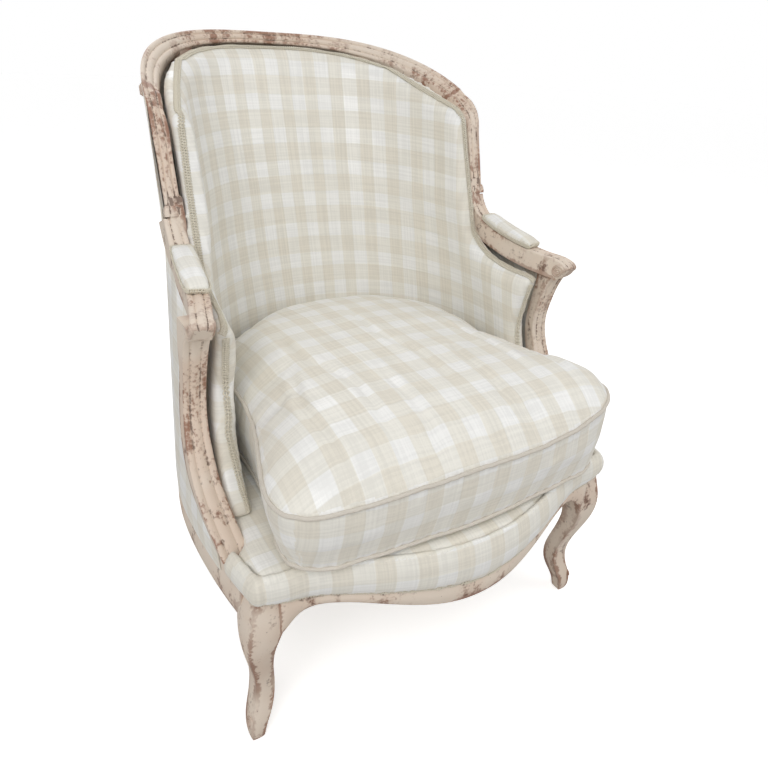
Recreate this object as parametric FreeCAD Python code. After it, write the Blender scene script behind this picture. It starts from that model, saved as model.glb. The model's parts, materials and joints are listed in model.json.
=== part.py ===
import FreeCAD
import Part
import math
import os

# Bergere armchair: a carved and painted show-wood frame with a barrel back, a sprung seat and a loose
# feather cushion. Sizes are millimetres. Z is up, the chair faces -Y, and X = 0 is its plane of symmetry.
# Depths named ..._Y are measured back from the line of the front leg corners, and vec() moves them so that
# the origin is on the floor under the middle of the chair.

# Overall sizes
HEIGHT = 976.0              # floor to the top of the crest
MID_DEPTH = 332.0           # front leg corner line to the middle of the whole depth
RAIL_TOP = 322.0            # top of the seat rails
RAIL_BOTTOM = 240.0         # underside of the side and back rails
RAIL_THICKNESS = 28.0
SEAT_HALF_WIDTH = 349.5     # outside of the side rails at their widest
CORNER_HALF_WIDTH = 327.0   # outside of the front leg corner under the gimp
BACK_HALF_WIDTH = 298.5     # outside of the barrel from the arms up
WAIST_HEIGHT = 715.0        # the barrel is straight above this and flares out below
BACK_DEPTH = 343.0          # half depth of the barrel's rounded back
BACK_CENTRE_Y = 405.0       # middle of that round at the crest
BACK_LEAN = 0.28            # run of the back per unit of height
PLAN_POWER = 2.3            # roundness of the barrel in plan, 2 is an ellipse
SIDE_SHARE = 0.75           # share of the wall parameter that is the round part

# Show-wood section and back arch
FACE_DEPTH = 30.0
BEAD_RISE = 3.0
OUTER_RISE = 131.0          # springing of the arch to its top
INNER_RISE = 121.0
CREST_WIDTH = 20.0
EDGE_WIDTH = 23.5
ARCH_OUTER = (BACK_HALF_WIDTH + 1, HEIGHT - OUTER_RISE, OUTER_RISE, 3.2)     # half width, springing, rise, roundness
ARCH_INNER = (BACK_HALF_WIDTH + 1 - EDGE_WIDTH, HEIGHT - CREST_WIDTH - INNER_RISE, INNER_RISE, 3.0)
ARCH_JOINT = 66.0           # degrees round the arch to the crest joint
FACE_PLAN_DEPTH = 310.0
FACE_PLAN_MARGIN = 2.0
STILE_FOOT = 726.0          # height of the stile's carved collar
TENON_LENGTH = 22.0
TENON_WIDTH = 14.0
TENON_THICKNESS = 10.0
FIT_GAP = 0.15              # clearance of a glued tenon
LAYER_GAP = 0.3             # clearance between soft layers
CORNER_CLEAR = 6.0          # straight run of a seat layer beside its front corner
WALL_GAP = 0.8              # clearance of the outside cover from the curved frame

# Arms
ARM_WIDTH = 30.0
ARM_HEIGHT = 36.0
ARM_LINE = (                # x, y, z of the arm's crown from the collar to the nose
    (289.5, 385.0, 724.0),
    (290.0, 374.0, 706.0),
    (291.5, 355.0, 690.0),
    (295.0, 320.0, 676.0),
    (300.0, 275.0, 666.0),
    (305.0, 236.0, 661.0),
    (313.0, 200.0, 658.0),
    (320.0, 172.0, 656.0),
    (324.0, 153.0, 648.0),
)
SUPPORT_LINE = (            # z, x of the middle, y of the front, width, depth of the carved arm support
    (640.0, 324.5, 166.0, 34.0, 46.0),
    (622.0, 325.5, 175.0, 35.0, 38.0),
    (606.0, 326.0, 184.0, 36.0, 29.0),
    (585.0, 326.5, 192.0, 35.0, 24.0),
    (547.0, 327.5, 201.0, 33.0, 22.0),
    (523.0, 329.0, 204.0, 33.0, 22.0),
    (490.0, 332.0, 200.0, 33.5, 24.0),
    (455.0, 335.0, 186.0, 35.0, 28.0),
    (420.0, 337.0, 163.0, 37.0, 32.0),
    (385.0, 336.0, 132.0, 39.0, 37.0),
    (350.0, 331.0, 96.0, 40.0, 42.0),
    (RAIL_TOP, 327.0, 72.0, 38.0, 46.0),
)
PAD_BEGIN = 0.20            # share along the arm where the pad begins and ends
PAD_END = 0.68
PAD_WIDTH = 35.0
PAD_BASE = 28.0
PAD_CROWN = 16.0
PAD_LENGTH = 130.0

# Front rail and legs
FRONT_BULGE = 71.0          # how far the serpentine rail stands forward at the middle
FRONT_LINE_Y = -8.0
FRONT_REACH = 262.0         # half width of the serpentine
FRONT_LOW = 237.0           # underside of the rail at the middle
FRONT_ARCH_RISE = 36.0
FRONT_ARCH_X = 235.0        # where the underside is highest
KNEE_REACH = 70.0
GIMP_LOW = 269.0            # lower edge of the fabric at the middle of the front
GIMP_RISE = 30.0
BLOCK_SIZE = 52.0
LEG_LINE = (                # z, x and y of the outer front arris, side of the square
    (RAIL_TOP, 326.0, 1.0, 52.0),
    (297.0, 327.5, 0.0, 58.0),
    (264.0, 337.0, -4.4, 55.0),
    (232.0, 342.0, -5.5, 47.0),
    (202.0, 341.3, -1.4, 38.5),
    (171.0, 336.0, 7.0, 33.0),
    (140.0, 329.8, 16.6, 30.0),
    (115.0, 326.4, 22.4, 29.5),
    (89.0, 326.8, 23.6, 30.0),
    (70.0, 330.0, 21.0, 30.5),
    (50.0, 336.0, 16.0, 30.0),
    (32.0, 340.5, 12.5, 27.0),
    (14.0, 341.5, 11.5, 23.0),
    (0.0, 339.0, 13.5, 18.0),
)
REAR_SHARE = 0.31           # wall parameter of the rear leg and its post
REAR_LEG_LINE = (           # z, step back along the diagonal, size
    (RAIL_BOTTOM, 0.0, 42.0),
    (170.0, 16.0, 39.0),
    (100.0, 28.0, 35.0),
    (45.0, 42.0, 32.0),
    (0.0, 58.0, 30.0),
)
POST_WIDTH = 34.0
POST_INSET = 2.0
LEG_INSET = 3.0
WALL_WOOD = 24.0            # thickness of the posts in the wall

# Seat and upholstery
COVER = 1.6                 # thickness of the woven cover
BURLAP_THICKNESS = 1.5
DECK_TOP = 348.0
WEBBING_LEVEL = 275.0
WEBBING_THICKNESS = 2.0
WEBBING_WIDTH = 50.0
DUST_COVER_LEVEL = 272.0
SPRING_WIRE = 3.8
SPRING_RADIUS = 36.0
SPRING_WAIST = 26.0
SPRING_TURNS = 5
LINING_INSET = 26.3
LINING_DROP = 30.0          # top of the lining below the top of the inside cover
PAD_INSET = 58.0            # face of the stuffed back behind the edge
EDGE_INSET = 31.0
SHOULDER_DROP = 34.0
OUTSIDE_LOW = 290.0         # lower edge of the outside cover
WALL_FRONT_LOW_Y = 112.0    # front edge of the stuffed sides at the deck, before it meets the arm support
WALL_FRONT_HIGH_Y = 186.0   # and under the arm

# Loose cushion
WELT_LOW = 352.0
WELT_HIGH = 478.0
CROWN_HIGH = 536.0
CUSHION_LOW = ((0.0, -60.0), (95.0, -57.0), (185.0, -50.0), (250.0, -40.0), (284.0, -14.0), (289.0, 24.0),
               (276.0, 85.0), (264.0, 150.0), (258.0, 225.0), (254.0, 305.0), (218.0, 400.0), (125.0, 476.0),
               (0.0, 499.0))
CUSHION_HIGH = ((0.0, -80.0), (105.0, -79.0), (195.0, -72.0), (258.0, -60.0), (291.0, -34.0), (300.0, 4.0),
                (290.0, 68.0), (273.0, 145.0), (259.0, 225.0), (251.0, 320.0), (215.0, 428.0), (125.0, 508.0),
                (0.0, 530.0))
CUSHION_CENTRE_Y = 225.0
PIPING_RADIUS = 3.2
GIMP_THICKNESS = 2.2
GIMP_SAG = 1.6              # bulge of the braid over the rolled edge

LEFT_RIGHT = (("right", False), ("left", True))


def vec(x, y, z):
    return FreeCAD.Vector(x, y - MID_DEPTH, z)


def unit(v):
    return v * (1.0 / v.Length)


def mirrored(shape):
    return shape.mirror(FreeCAD.Vector(0, 0, 0), FreeCAD.Vector(1, 0, 0))


def both_sides(name, right_shape):
    return {name + "_" + side: (mirrored(right_shape) if flip else right_shape) for side, flip in LEFT_RIGHT}


def line(a, b):
    return Part.makeLine(a, b)


def arc(a, middle, b):
    return Part.Arc(a, middle, b).toShape()


def ring(points):
    return Part.makePolygon(list(points) + [points[0]])


def loft(wires, ruled=False):
    return Part.makeLoft(wires, True, ruled)


def spline_samples(points, shares):
    """Point and direction at shares of a smooth curve through the points."""
    curve = Part.BSplineCurve()
    curve.interpolate(points)
    first, last = curve.FirstParameter, curve.LastParameter
    found = []
    for share in shares:
        u = first + (last - first) * share
        found.append((curve.value(u), unit(curve.getD1(u)[1])))
    return found


def round_quarter(degrees, power):
    """Sine-like and cosine-like values on a rounded-square quarter."""
    s = math.sin(math.radians(degrees))
    c = math.cos(math.radians(degrees))
    r = (abs(s) ** power + abs(c) ** power) ** (-1.0 / power)
    return r * s, r * c


# The wall: the barrel that the back and arms follow

def wall_half_width(z):
    flare = (SEAT_HALF_WIDTH - BACK_HALF_WIDTH) / (WAIST_HEIGHT - RAIL_TOP)
    return BACK_HALF_WIDTH + flare * max(0.0, WAIST_HEIGHT - max(z, RAIL_TOP))


def wall_centre_y(z):
    return BACK_CENTRE_Y - BACK_LEAN * (HEIGHT - max(z, RAIL_TOP))


def side_bow(z):
    """How the straight part of the wall runs forward: in at the seat, out at the arms."""
    seat = CORNER_HALF_WIDTH - SEAT_HALF_WIDTH
    arm = ARM_LINE[-1][0] + ARM_WIDTH / 2 - wall_half_width(ARM_LINE[-1][2])
    seat_run = wall_centre_y(RAIL_TOP)
    arm_run = wall_centre_y(ARM_LINE[-1][2]) - ARM_LINE[-1][1]
    share = (max(z, RAIL_TOP) - RAIL_TOP) / (ARM_LINE[-1][2] - RAIL_TOP)
    return (1 - share) * seat / seat_run ** 2 + share * arm / arm_run ** 2


def wall_front_y(z):
    share = (z - DECK_TOP) / (ARM_LINE[-1][2] - DECK_TOP)
    return WALL_FRONT_LOW_Y + (WALL_FRONT_HIGH_Y - WALL_FRONT_LOW_Y) * share


def wall_plan(share, z, inset, front_y):
    """Plan point of the wall: share 0 is the middle of the back, 1 the front end, minus is the left."""
    side = -1.0 if share < 0 else 1.0
    share = abs(share)
    centre = wall_centre_y(z)
    half = wall_half_width(z) - inset
    if share <= SIDE_SHARE:
        s, c = round_quarter(90.0 * share / SIDE_SHARE, PLAN_POWER)
        return side * half * s, centre + (BACK_DEPTH - inset) * c
    y = centre + (front_y - centre) * (share - SIDE_SHARE) / (1 - SIDE_SHARE)
    return side * (half + side_bow(z) * (centre - y) ** 2), y


def wall_point(share, z, inset, front_y=None):
    if front_y is None:
        front_y = wall_front_y(z)
    x, y = wall_plan(share, z, inset, front_y)
    return vec(x, y, z)


def wall_outward(share, z):
    a = wall_point(share - 0.01, z, 0)
    b = wall_point(share + 0.01, z, 0)
    t = unit(b - a)
    return FreeCAD.Vector(-t.y, t.x, 0)


def face_point(x, z, half_width):
    run = 1 - (abs(x) / (half_width + FACE_PLAN_MARGIN)) ** PLAN_POWER
    return vec(x, wall_centre_y(z) + FACE_PLAN_DEPTH * run ** (1 / PLAN_POWER), z)


def arch_edge(degrees, edge):
    """Point of the moulded face's outer or inner edge round the arch."""
    half, spring, rise, power = edge
    s, c = round_quarter(degrees, power)
    return face_point(half * s, spring + rise * c, half)


def arch_height(x, edge, drop):
    """Height of the arch at x, for an edge that lies a little lower."""
    half, spring, rise, power = edge
    share = min(1.0, abs(x) / half)
    return spring + rise * (1 - share ** power) ** (1 / power) - drop


def stile_share():
    """Wall parameter where the face of the stile stands."""
    run = 1 - (ARCH_OUTER[0] / (ARCH_OUTER[0] + FACE_PLAN_MARGIN)) ** PLAN_POWER
    depth = FACE_PLAN_DEPTH * run ** (1 / PLAN_POWER)
    return SIDE_SHARE * math.degrees(math.acos(depth / BACK_DEPTH)) / 90.0


def cover_top(share):
    """Height of the inside cover's edge at a share of the wall."""
    if abs(share) < STILE_SHARE:
        x = ARCH_INNER[0] * round_quarter(90 * abs(share) / SIDE_SHARE, PLAN_POWER)[0]
        return arch_height(x, ARCH_INNER, 3.0)
    low = ARM_LINE[-1][2] - 28
    y = wall_plan(abs(share), low + 40, 0, WALL_FRONT_HIGH_Y)[1]
    run = ARM_LINE[0][1] + 10 - y
    return low + (STILE_FOOT - low - 8) * math.exp(-max(0.0, run) / 40.0)


def outside_top(share):
    """Height of the outside cover's edge: under the crest, and under the arms."""
    if abs(share) < STILE_BACK_SHARE:
        x = BACK_HALF_WIDTH * round_quarter(90 * abs(share) / SIDE_SHARE, PLAN_POWER)[0]
        return arch_height(x, ARCH_OUTER, 16.0)
    return min(STILE_FOOT - 12, cover_top(max(abs(share), STILE_SHARE + 0.001)) + 6)


def on_wall(point):
    """The point moved straight out or in to the wall's outside."""
    centre = vec(0, wall_centre_y(point.z), point.z)
    v = point - centre
    size = (abs(v.x) / BACK_HALF_WIDTH) ** PLAN_POWER + (abs(v.y) / BACK_DEPTH) ** PLAN_POWER
    return centre + v * (size ** (-1 / PLAN_POWER))


STILE_SHARE = stile_share()
STILE_BACK_SHARE = STILE_SHARE - 0.047


# Sections

def moulding(centre, across, face, width, depth, back_shift=0.0):
    """Closed section with three beads on its face. The centre lies on the crown of the face."""
    base = centre - face * BEAD_RISE
    back = centre - face * depth + across * back_shift
    half = width / 2
    cuts = (-half, -0.22 * width, 0.22 * width, half)
    edges = [line(back - across * half, back + across * half), line(back + across * half, base + across * half)]
    for i in (2, 1, 0):
        a, b = cuts[i + 1], cuts[i]
        rise = BEAD_RISE if i == 1 else 0.7 * BEAD_RISE
        edges.append(arc(base + across * a, base + across * (a + b) / 2 + face * rise, base + across * b))
    edges.append(line(base - across * half, back - across * half))
    return Part.Wire(edges)


def section_axes(tangent, outward, forward):
    across = unit(outward - tangent * outward.dot(tangent))
    face = unit(tangent.cross(across))
    if face.dot(forward) < 0:
        face = face * -1.0
    return across, face


def box_between(start, direction, across, length, width, thickness):
    """A tenon: a block that runs from start along direction."""
    third = unit(direction.cross(across))
    a = across * (width / 2)
    b = third * (thickness / 2)
    face = Part.Face(ring([start - a - b, start + a - b, start + a + b, start - a + b]))
    return face.extrude(direction * length)


FORWARD_UP = FreeCAD.Vector(0, -1, 0.4)


def frame_axes(outer, inner, tangent):
    """Middle, width and directions of the moulded face between its two edges."""
    middle = (outer + inner) * 0.5
    across, face = section_axes(tangent, outer - inner, FORWARD_UP)
    return middle + face * (BEAD_RISE / 2), across, face, (outer - inner).Length


def frame_section(outer, inner, tangent, grow):
    centre, across, face, width = frame_axes(outer, inner, tangent)
    corner = centre + across * (width / 2) - face * FACE_DEPTH
    to_wall = on_wall(corner) - corner
    depth = FACE_DEPTH - face.dot(to_wall) + 2 * grow
    return moulding(centre + face * grow, across, face, width + 2 * grow, depth, across.dot(to_wall))


def arch_tangent(degrees):
    step = 0.5
    ends = [arch_edge(d, ARCH_OUTER) + arch_edge(d, ARCH_INNER) for d in (degrees - step, degrees + step)]
    return unit(ends[1] - ends[0])


def arch_section(degrees):
    return frame_section(arch_edge(degrees, ARCH_OUTER), arch_edge(degrees, ARCH_INNER), arch_tangent(degrees), 0)


def stile_section(z, grow=0.0):
    outer = face_point(ARCH_OUTER[0], z, ARCH_OUTER[0])
    inner = face_point(ARCH_INNER[0], z, ARCH_INNER[0])
    tangent = unit(face_point(ARCH_OUTER[0], z - 1, ARCH_OUTER[0]) - outer)
    return frame_section(outer, inner, tangent, grow)


def arch_tenon(gap):
    """Tenon from the stile into the crest rail."""
    along = arch_tangent(ARCH_JOINT) * -1.0
    outer, inner = arch_edge(ARCH_JOINT, ARCH_OUTER), arch_edge(ARCH_JOINT, ARCH_INNER)
    centre, across, face, width = frame_axes(outer, inner, along)
    start = centre - face * (FACE_DEPTH / 2) - along * 2
    size = 2 * gap
    return box_between(start, along, across, TENON_LENGTH + 2 + gap, TENON_WIDTH + size, TENON_THICKNESS + size)


# Frame pieces

def crest_rail():
    count = 22
    step = 2 * ARCH_JOINT / count
    body = loft([arch_section(-ARCH_JOINT + step * i) for i in range(count + 1)])
    for mortise in (arch_tenon(FIT_GAP), mirrored(arch_tenon(FIT_GAP))):
        body = body.cut(mortise)
    return body


def stile_post():
    """The stile's hidden lower length, inside the wall from the collar to the seat rail."""
    wires = []
    for z in (STILE_FOOT + 26, WAIST_HEIGHT, RAIL_TOP):
        outer = wall_point(STILE_SHARE, z, POST_INSET)
        out = wall_outward(STILE_SHARE, z)
        along = FreeCAD.Vector(-out.y, out.x, 0)
        inner = outer - out * (WALL_WOOD - 2)
        half = along * (FACE_DEPTH / 2)
        shift = along * (FACE_DEPTH / 2)
        wires.append(ring([outer - half + shift, outer + half + shift, inner + half + shift, inner - half + shift]))
    return loft(wires, True)


def stile():
    turns = [ARCH_JOINT + (90 - ARCH_JOINT) * i / 4 for i in range(5)]
    wires = [arch_section(a) for a in turns]
    spring = (ARCH_OUTER[1] + ARCH_INNER[1]) / 2
    drop = spring - STILE_FOOT
    wires += [stile_section(spring - drop * i / 4) for i in range(1, 5)]
    body = loft(wires)
    collar = loft([stile_section(STILE_FOOT + 15, 1.0), stile_section(STILE_FOOT + 8, 3.0), stile_section(STILE_FOOT, 3.0)])
    body = body.fuse(collar)
    body = body.fuse(arch_tenon(0))
    return body.fuse(stile_post()).removeSplitter()


def arm_samples(shares):
    return spline_samples([vec(*p) for p in ARM_LINE], shares)


def arm_axes(tangent):
    return section_axes(tangent, FreeCAD.Vector(1, 0, 0), FreeCAD.Vector(0, -0.6, 1))


def arm(stile_shape):
    shares = [i / 14 for i in range(15)]
    wires = []
    for point, tangent in arm_samples(shares):
        across, face = arm_axes(tangent)
        wires.append(moulding(point, across, face, ARM_WIDTH, ARM_HEIGHT))
    point, tangent = arm_samples([1.0])[0]
    across, face = arm_axes(tangent)
    nose = point + tangent * 5 - face * 4
    wires.append(moulding(nose, across, face, ARM_WIDTH * 0.7, ARM_HEIGHT * 0.6))
    return loft(wires).cut(stile_shape)


def arm_support(arm_shape):
    wires = []
    for z, x, y, width, depth in SUPPORT_LINE:
        wires.append(moulding(vec(x, y, z), FreeCAD.Vector(1, 0, 0), FreeCAD.Vector(0, -1, 0), width, depth))
    body = loft(wires).cut(arm_shape)
    return body.fuse(support_tenon(0))


def support_tenon(gap):
    z, x, y, width, depth = SUPPORT_LINE[-1]
    start = vec(x - 3, y + depth / 2, z + 2)
    size = 2 * gap
    return box_between(start, FreeCAD.Vector(0, 0, -1), FreeCAD.Vector(0, 1, 0),
                       TENON_LENGTH + 2 + gap, TENON_WIDTH + 4 + size, TENON_THICKNESS + size)


def before_support():
    """The space in front of the arm supports, to end the upholstered sides against them."""
    points = [FreeCAD.Vector(0, y + 0.55 * depth - MID_DEPTH, z) for z, x, y, width, depth in SUPPORT_LINE]
    curve = Part.BSplineCurve()
    curve.interpolate(points)
    top, low = points[0], points[-1]
    lift = FreeCAD.Vector(0, 0, 60)
    forward = FreeCAD.Vector(0, -300, 0)
    outline = Part.Wire([curve.toShape(), line(low, low - lift), line(low - lift, low - lift + forward),
                         line(low - lift + forward, top + lift + forward), line(top + lift + forward, top + lift),
                         line(top + lift, top)])
    width = 2 * SEAT_HALF_WIDTH + 100
    face = Part.Face(outline)
    face.translate(FreeCAD.Vector(-width / 2, 0, 0))
    return face.extrude(FreeCAD.Vector(width, 0, 0))


def front_line_y(x):
    """Plan of the serpentine front."""
    x = abs(x)
    if x < FRONT_REACH:
        return FRONT_LINE_Y - FRONT_BULGE * (1 - (x / FRONT_REACH) ** 2) ** 1.5
    return FRONT_LINE_Y * (1 - ((x - FRONT_REACH) / (CORNER_HALF_WIDTH - FRONT_REACH)) ** 2)


def front_under_z(x):
    """Underside of the front rail: low in the middle, arched near the legs, down into the knees."""
    x = abs(x)
    high = FRONT_LOW + FRONT_ARCH_RISE
    if x < FRONT_ARCH_X:
        t = (x / FRONT_ARCH_X) ** 1.15
        return FRONT_LOW + FRONT_ARCH_RISE * t * t * (3 - 2 * t)
    t = min(1.0, (x - FRONT_ARCH_X) / KNEE_REACH)
    return high - KNEE_REACH + KNEE_REACH * math.sqrt(1 - t * t)


def gimp_z(x):
    return GIMP_LOW + GIMP_RISE * (abs(x) / CORNER_HALF_WIDTH) ** 1.2


def front_rail_section(x):
    y = front_line_y(x)
    low = front_under_z(x)
    band = gimp_z(x)
    back = y + RAIL_THICKNESS
    edges = [
        arc(vec(x, y, low), vec(x, y - BEAD_RISE, (low + band) / 2), vec(x, y, band)),
        line(vec(x, y, band), vec(x, y, RAIL_TOP)),
        line(vec(x, y, RAIL_TOP), vec(x, back, RAIL_TOP)),
        line(vec(x, back, RAIL_TOP), vec(x, back, low)),
        line(vec(x, back, low), vec(x, y, low)),
    ]
    return Part.Wire(edges)


def front_rail(legs):
    reach = CORNER_HALF_WIDTH - BLOCK_SIZE / 2 - 4
    count = 24
    wires = [front_rail_section(-reach + 2 * reach * i / count) for i in range(count + 1)]
    body = loft(wires)
    for leg in legs:
        body = body.cut(leg)
    return largest(body)


def largest(shape):
    """The main solid of a cut, without loose slivers."""
    return max(shape.Solids, key=lambda s: s.Volume)


def front_leg():
    wires = []
    for z, x, y, side in LEG_LINE:
        bow = 0.05 * side * min(1.0, (RAIL_TOP - z) / 60)
        a, b = vec(x, y, z), vec(x - side, y, z)
        c, d = vec(x - side, y + side, z), vec(x, y + side, z)
        m = side / 2
        front = arc(a, vec(x - m, y - bow, z), b) if bow else line(a, b)
        outside = arc(d, vec(x + bow, y + m, z), a) if bow else line(d, a)
        wires.append(Part.Wire([front, line(b, c), line(c, d), outside]))
    return loft(wires)


def rail_share(y):
    """Wall parameter of the side rail at a depth in front of the barrel's centre."""
    centre = wall_centre_y(RAIL_TOP)
    return SIDE_SHARE + (1 - SIDE_SHARE) * (centre - y) / centre


def rail_section(share):
    def at(inset, z):
        return wall_point(share, z, inset, 0.0)

    out = unit(at(0, RAIL_TOP) - at(RAIL_THICKNESS, RAIL_TOP))
    low, high = at(0, RAIL_BOTTOM), at(0, OUTSIDE_LOW)
    middle = at(0, (RAIL_BOTTOM + OUTSIDE_LOW) / 2) + out * BEAD_RISE
    corners = [high, at(0, RAIL_TOP), at(RAIL_THICKNESS, RAIL_TOP), at(RAIL_THICKNESS, RAIL_BOTTOM), low]
    edges = [arc(low, middle, high)]
    edges += [line(a, b) for a, b in zip(corners[:-1], corners[1:])]
    return Part.Wire(edges)


def side_rail(neighbours):
    first, last = REAR_SHARE, rail_share(BLOCK_SIZE - 14)
    count = 14
    body = loft([rail_section(first + (last - first) * i / count) for i in range(count + 1)])
    for other in neighbours:
        body = body.cut(other)
    return largest(body)


def back_rail(legs):
    count = 10
    body = loft([rail_section(-REAR_SHARE + 2 * REAR_SHARE * i / count) for i in range(count + 1)])
    for leg in legs:
        body = body.cut(leg)
    return largest(body)


def upright_section(share, z, size, inset, step_back=0.0):
    outer = wall_point(share, z, inset)
    out = wall_outward(share, z)
    along = FreeCAD.Vector(-out.y, out.x, 0)
    width, depth = size
    outer = outer + out * step_back
    inner = outer - out * depth
    half = along * (width / 2)
    return ring([outer - half, outer + half, inner + half, inner - half])


def rear_leg():
    low = [upright_section(REAR_SHARE, z, (side, side), LEG_INSET, step) for z, step, side in reversed(REAR_LEG_LINE)]
    low.append(upright_section(REAR_SHARE, RAIL_TOP, (REAR_LEG_LINE[0][2],) * 2, LEG_INSET))
    leg = loft(low)
    x = wall_plan(REAR_SHARE, WAIST_HEIGHT, 0, 0.0)[0]
    heights = (RAIL_TOP - 10, WAIST_HEIGHT, arch_height(x, ARCH_OUTER, 14.0))
    post = loft([upright_section(REAR_SHARE, z, (POST_WIDTH, WALL_WOOD - 2), POST_INSET) for z in heights], True)
    return leg.fuse(post).removeSplitter()


# Upholstery of the back

def wall_shares():
    """Wall parameters of the ribs, closer together beside the stiles."""
    half = [STILE_BACK_SHARE * i / 15 for i in range(1, 15)]
    half += [STILE_BACK_SHARE - 0.002, STILE_BACK_SHARE + 0.002]
    half += [STILE_SHARE - 0.012, STILE_SHARE - 0.004, STILE_SHARE + 0.004]
    rest = 1 - STILE_SHARE
    half += [STILE_SHARE + rest * i / 9 for i in range(1, 10)]
    return [-s for s in reversed(half)] + [0.0] + half


def waist(top):
    """Height where a rib of the wall bends, for a rib that ends at top."""
    return min(WAIST_HEIGHT, top - SHOULDER_DROP - 20)


def wall_shell(low, top_of, outer_inset, inner_inset):
    """A sheet that follows the wall from a level up to a top edge."""
    wires = []
    for share in wall_shares():
        top = top_of(share)
        heights = [low, waist(top), top]
        if low < RAIL_TOP:
            heights.insert(1, RAIL_TOP)
        outer = [wall_point(share, z, outer_inset) for z in heights]
        inner = [wall_point(share, z, inner_inset) for z in reversed(heights)]
        wires.append(ring(outer + inner))
    return loft(wires, True)


def lining_top(share):
    return cover_top(share) - LINING_DROP


def back_lining():
    """The jute lining, which spans the back from stile to stile."""
    low = DECK_TOP + LAYER_GAP
    whole = wall_shell(low, lining_top, LINING_INSET, LINING_INSET + BURLAP_THICKNESS)
    foot = wall_point(STILE_BACK_SHARE, low - COVER, LINING_INSET)
    head = wall_point(STILE_BACK_SHARE, HEIGHT, LINING_INSET)
    width = 3 * BACK_HALF_WIDTH
    corners = ((foot.y, foot.z), (foot.y + width, foot.z), (head.y + width, head.z), (head.y, head.z))
    side = ring([FreeCAD.Vector(-width / 2, y, z) for y, z in corners])
    return whole.common(Part.Face(side).extrude(FreeCAD.Vector(width, 0, 0)))


def stuffed_rib(share, low, thin):
    """Outline of the padded face at one rib, from the deck up and over the rolled edge."""
    top = cover_top(share)
    foot = wall_point(share, low, PAD_INSET + 5 - thin)
    middle = wall_point(share, waist(top), PAD_INSET + 2 - thin)
    shoulder = wall_point(share, top - SHOULDER_DROP, PAD_INSET - thin)
    turn = wall_point(share, top - 9 - 0.4 * thin, PAD_INSET - 9 - thin)
    edge = wall_point(share, top - 0.5 * thin, EDGE_INSET + 2 - 0.3 * thin)
    return foot, middle, shoulder, turn, edge


def inside_pad():
    wires = []
    low = DECK_TOP + LAYER_GAP
    back_inset = LINING_INSET + BURLAP_THICKNESS + LAYER_GAP
    for share in wall_shares():
        foot, middle, shoulder, turn, edge = stuffed_rib(share, low, COVER + LAYER_GAP)
        top = cover_top(share)
        back = [wall_point(share, z, back_inset) for z in (top - 12, waist(top), low)]
        corners = [edge] + back + [foot, middle, shoulder]
        edges = [line(a, b) for a, b in zip(corners[:-1], corners[1:])]
        wires.append(Part.Wire(edges + [arc(shoulder, turn, edge)]))
    return loft(wires, True)


def inside_cover():
    wires = []
    low = DECK_TOP + LAYER_GAP
    for share in wall_shares():
        foot, middle, shoulder, turn, edge = stuffed_rib(share, low, 0)
        foot2, middle2, shoulder2, turn2, edge2 = stuffed_rib(share, low, COVER)
        wires.append(Part.Wire([line(foot, middle), line(middle, shoulder), arc(shoulder, turn, edge), line(edge, edge2),
                                arc(edge2, turn2, shoulder2), line(shoulder2, middle2), line(middle2, foot2),
                                line(foot2, foot)]))
    return loft(wires, True)


# Seat

def front_stations():
    """Plan point and outward direction round the front of the seat, from side to side."""
    corner = 5.0
    half = CORNER_HALF_WIDTH + 0.7
    side_end = SUPPORT_LINE[-1][2] - 3
    stations = []
    for y in (side_end, (side_end + corner) / 2):
        x = wall_plan(rail_share(y), RAIL_TOP, 0, 0.0)[0]
        stations.append((x, y, 1.0, 0.0))
    for degrees in (0, 45, 90):
        s, c = math.sin(math.radians(degrees)), math.cos(math.radians(degrees))
        stations.append((half - corner + corner * c, corner - 1 - corner * s, c, -s))
    steps = 11
    for i in range(steps):
        x = (half - 2 * corner) * (1 - i / steps)
        slope = (front_line_y(x + 1) - front_line_y(x - 1)) / 2
        length = math.hypot(1, slope)
        stations.append((x, front_line_y(x), slope / length, -1 / length))
    left = [(-x, y, -nx, ny) for x, y, nx, ny in reversed(stations)]
    return stations + [(0.0, front_line_y(0), 0.0, -1.0)] + left


FRONT_STATIONS = front_stations()


def edge_roll():
    """The stitched front edge: covered stuffing from the gimp line up over the rail to the deck."""
    wires = []
    for x, y, nx, ny in FRONT_STATIONS:
        low = gimp_z(x) + 1
        top = DECK_TOP - 0.5

        def at(out, z):
            return vec(x + nx * out, y + ny * out, z)

        near, far = 3 * LAYER_GAP, -8.0
        shelf = RAIL_TOP + LAYER_GAP + BURLAP_THICKNESS + LAYER_GAP
        edges = [arc(at(near, low), at(9, (low + top) / 2 + 4), at(-3, top))]
        corners = [at(-3, top), at(far, top), at(far, shelf), at(near, shelf), at(near, low)]
        edges += [line(a, b) for a, b in zip(corners[:-1], corners[1:])]
        wires.append(Part.Wire(edges))
    return loft(wires, True)


def seat_outline(z, wall_inset, front_inset):
    """Closed outline of a seat layer: the serpentine front, the sides and the round back."""
    half = CORNER_HALF_WIDTH - front_inset
    clear = half - front_inset - CORNER_CLEAR
    front = [vec(x - nx * front_inset, y - ny * front_inset, z) for x, y, nx, ny in FRONT_STATIONS if abs(x) < clear]
    side_end = SUPPORT_LINE[-1][2] - 3
    side_x = FRONT_STATIONS[0][0] - front_inset
    front = [vec(side_x, side_end, z), vec(half, front_inset, z)] + front
    front += [vec(-half, front_inset, z), vec(-side_x, side_end, z)]
    last = rail_share(side_end)
    count = 40
    back = []
    for i in range(count + 1):
        share = -last + 2 * last * i / count
        x, y = wall_plan(share, RAIL_TOP, wall_inset, 0.0)
        back.append(vec(x, y, z))
    return front, back


def seat_sheet(z, thickness, wall_inset, front_inset):
    front, back = seat_outline(z, wall_inset, front_inset)
    face = Part.Face(ring(front + back))
    return face.extrude(FreeCAD.Vector(0, 0, thickness))


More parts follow.
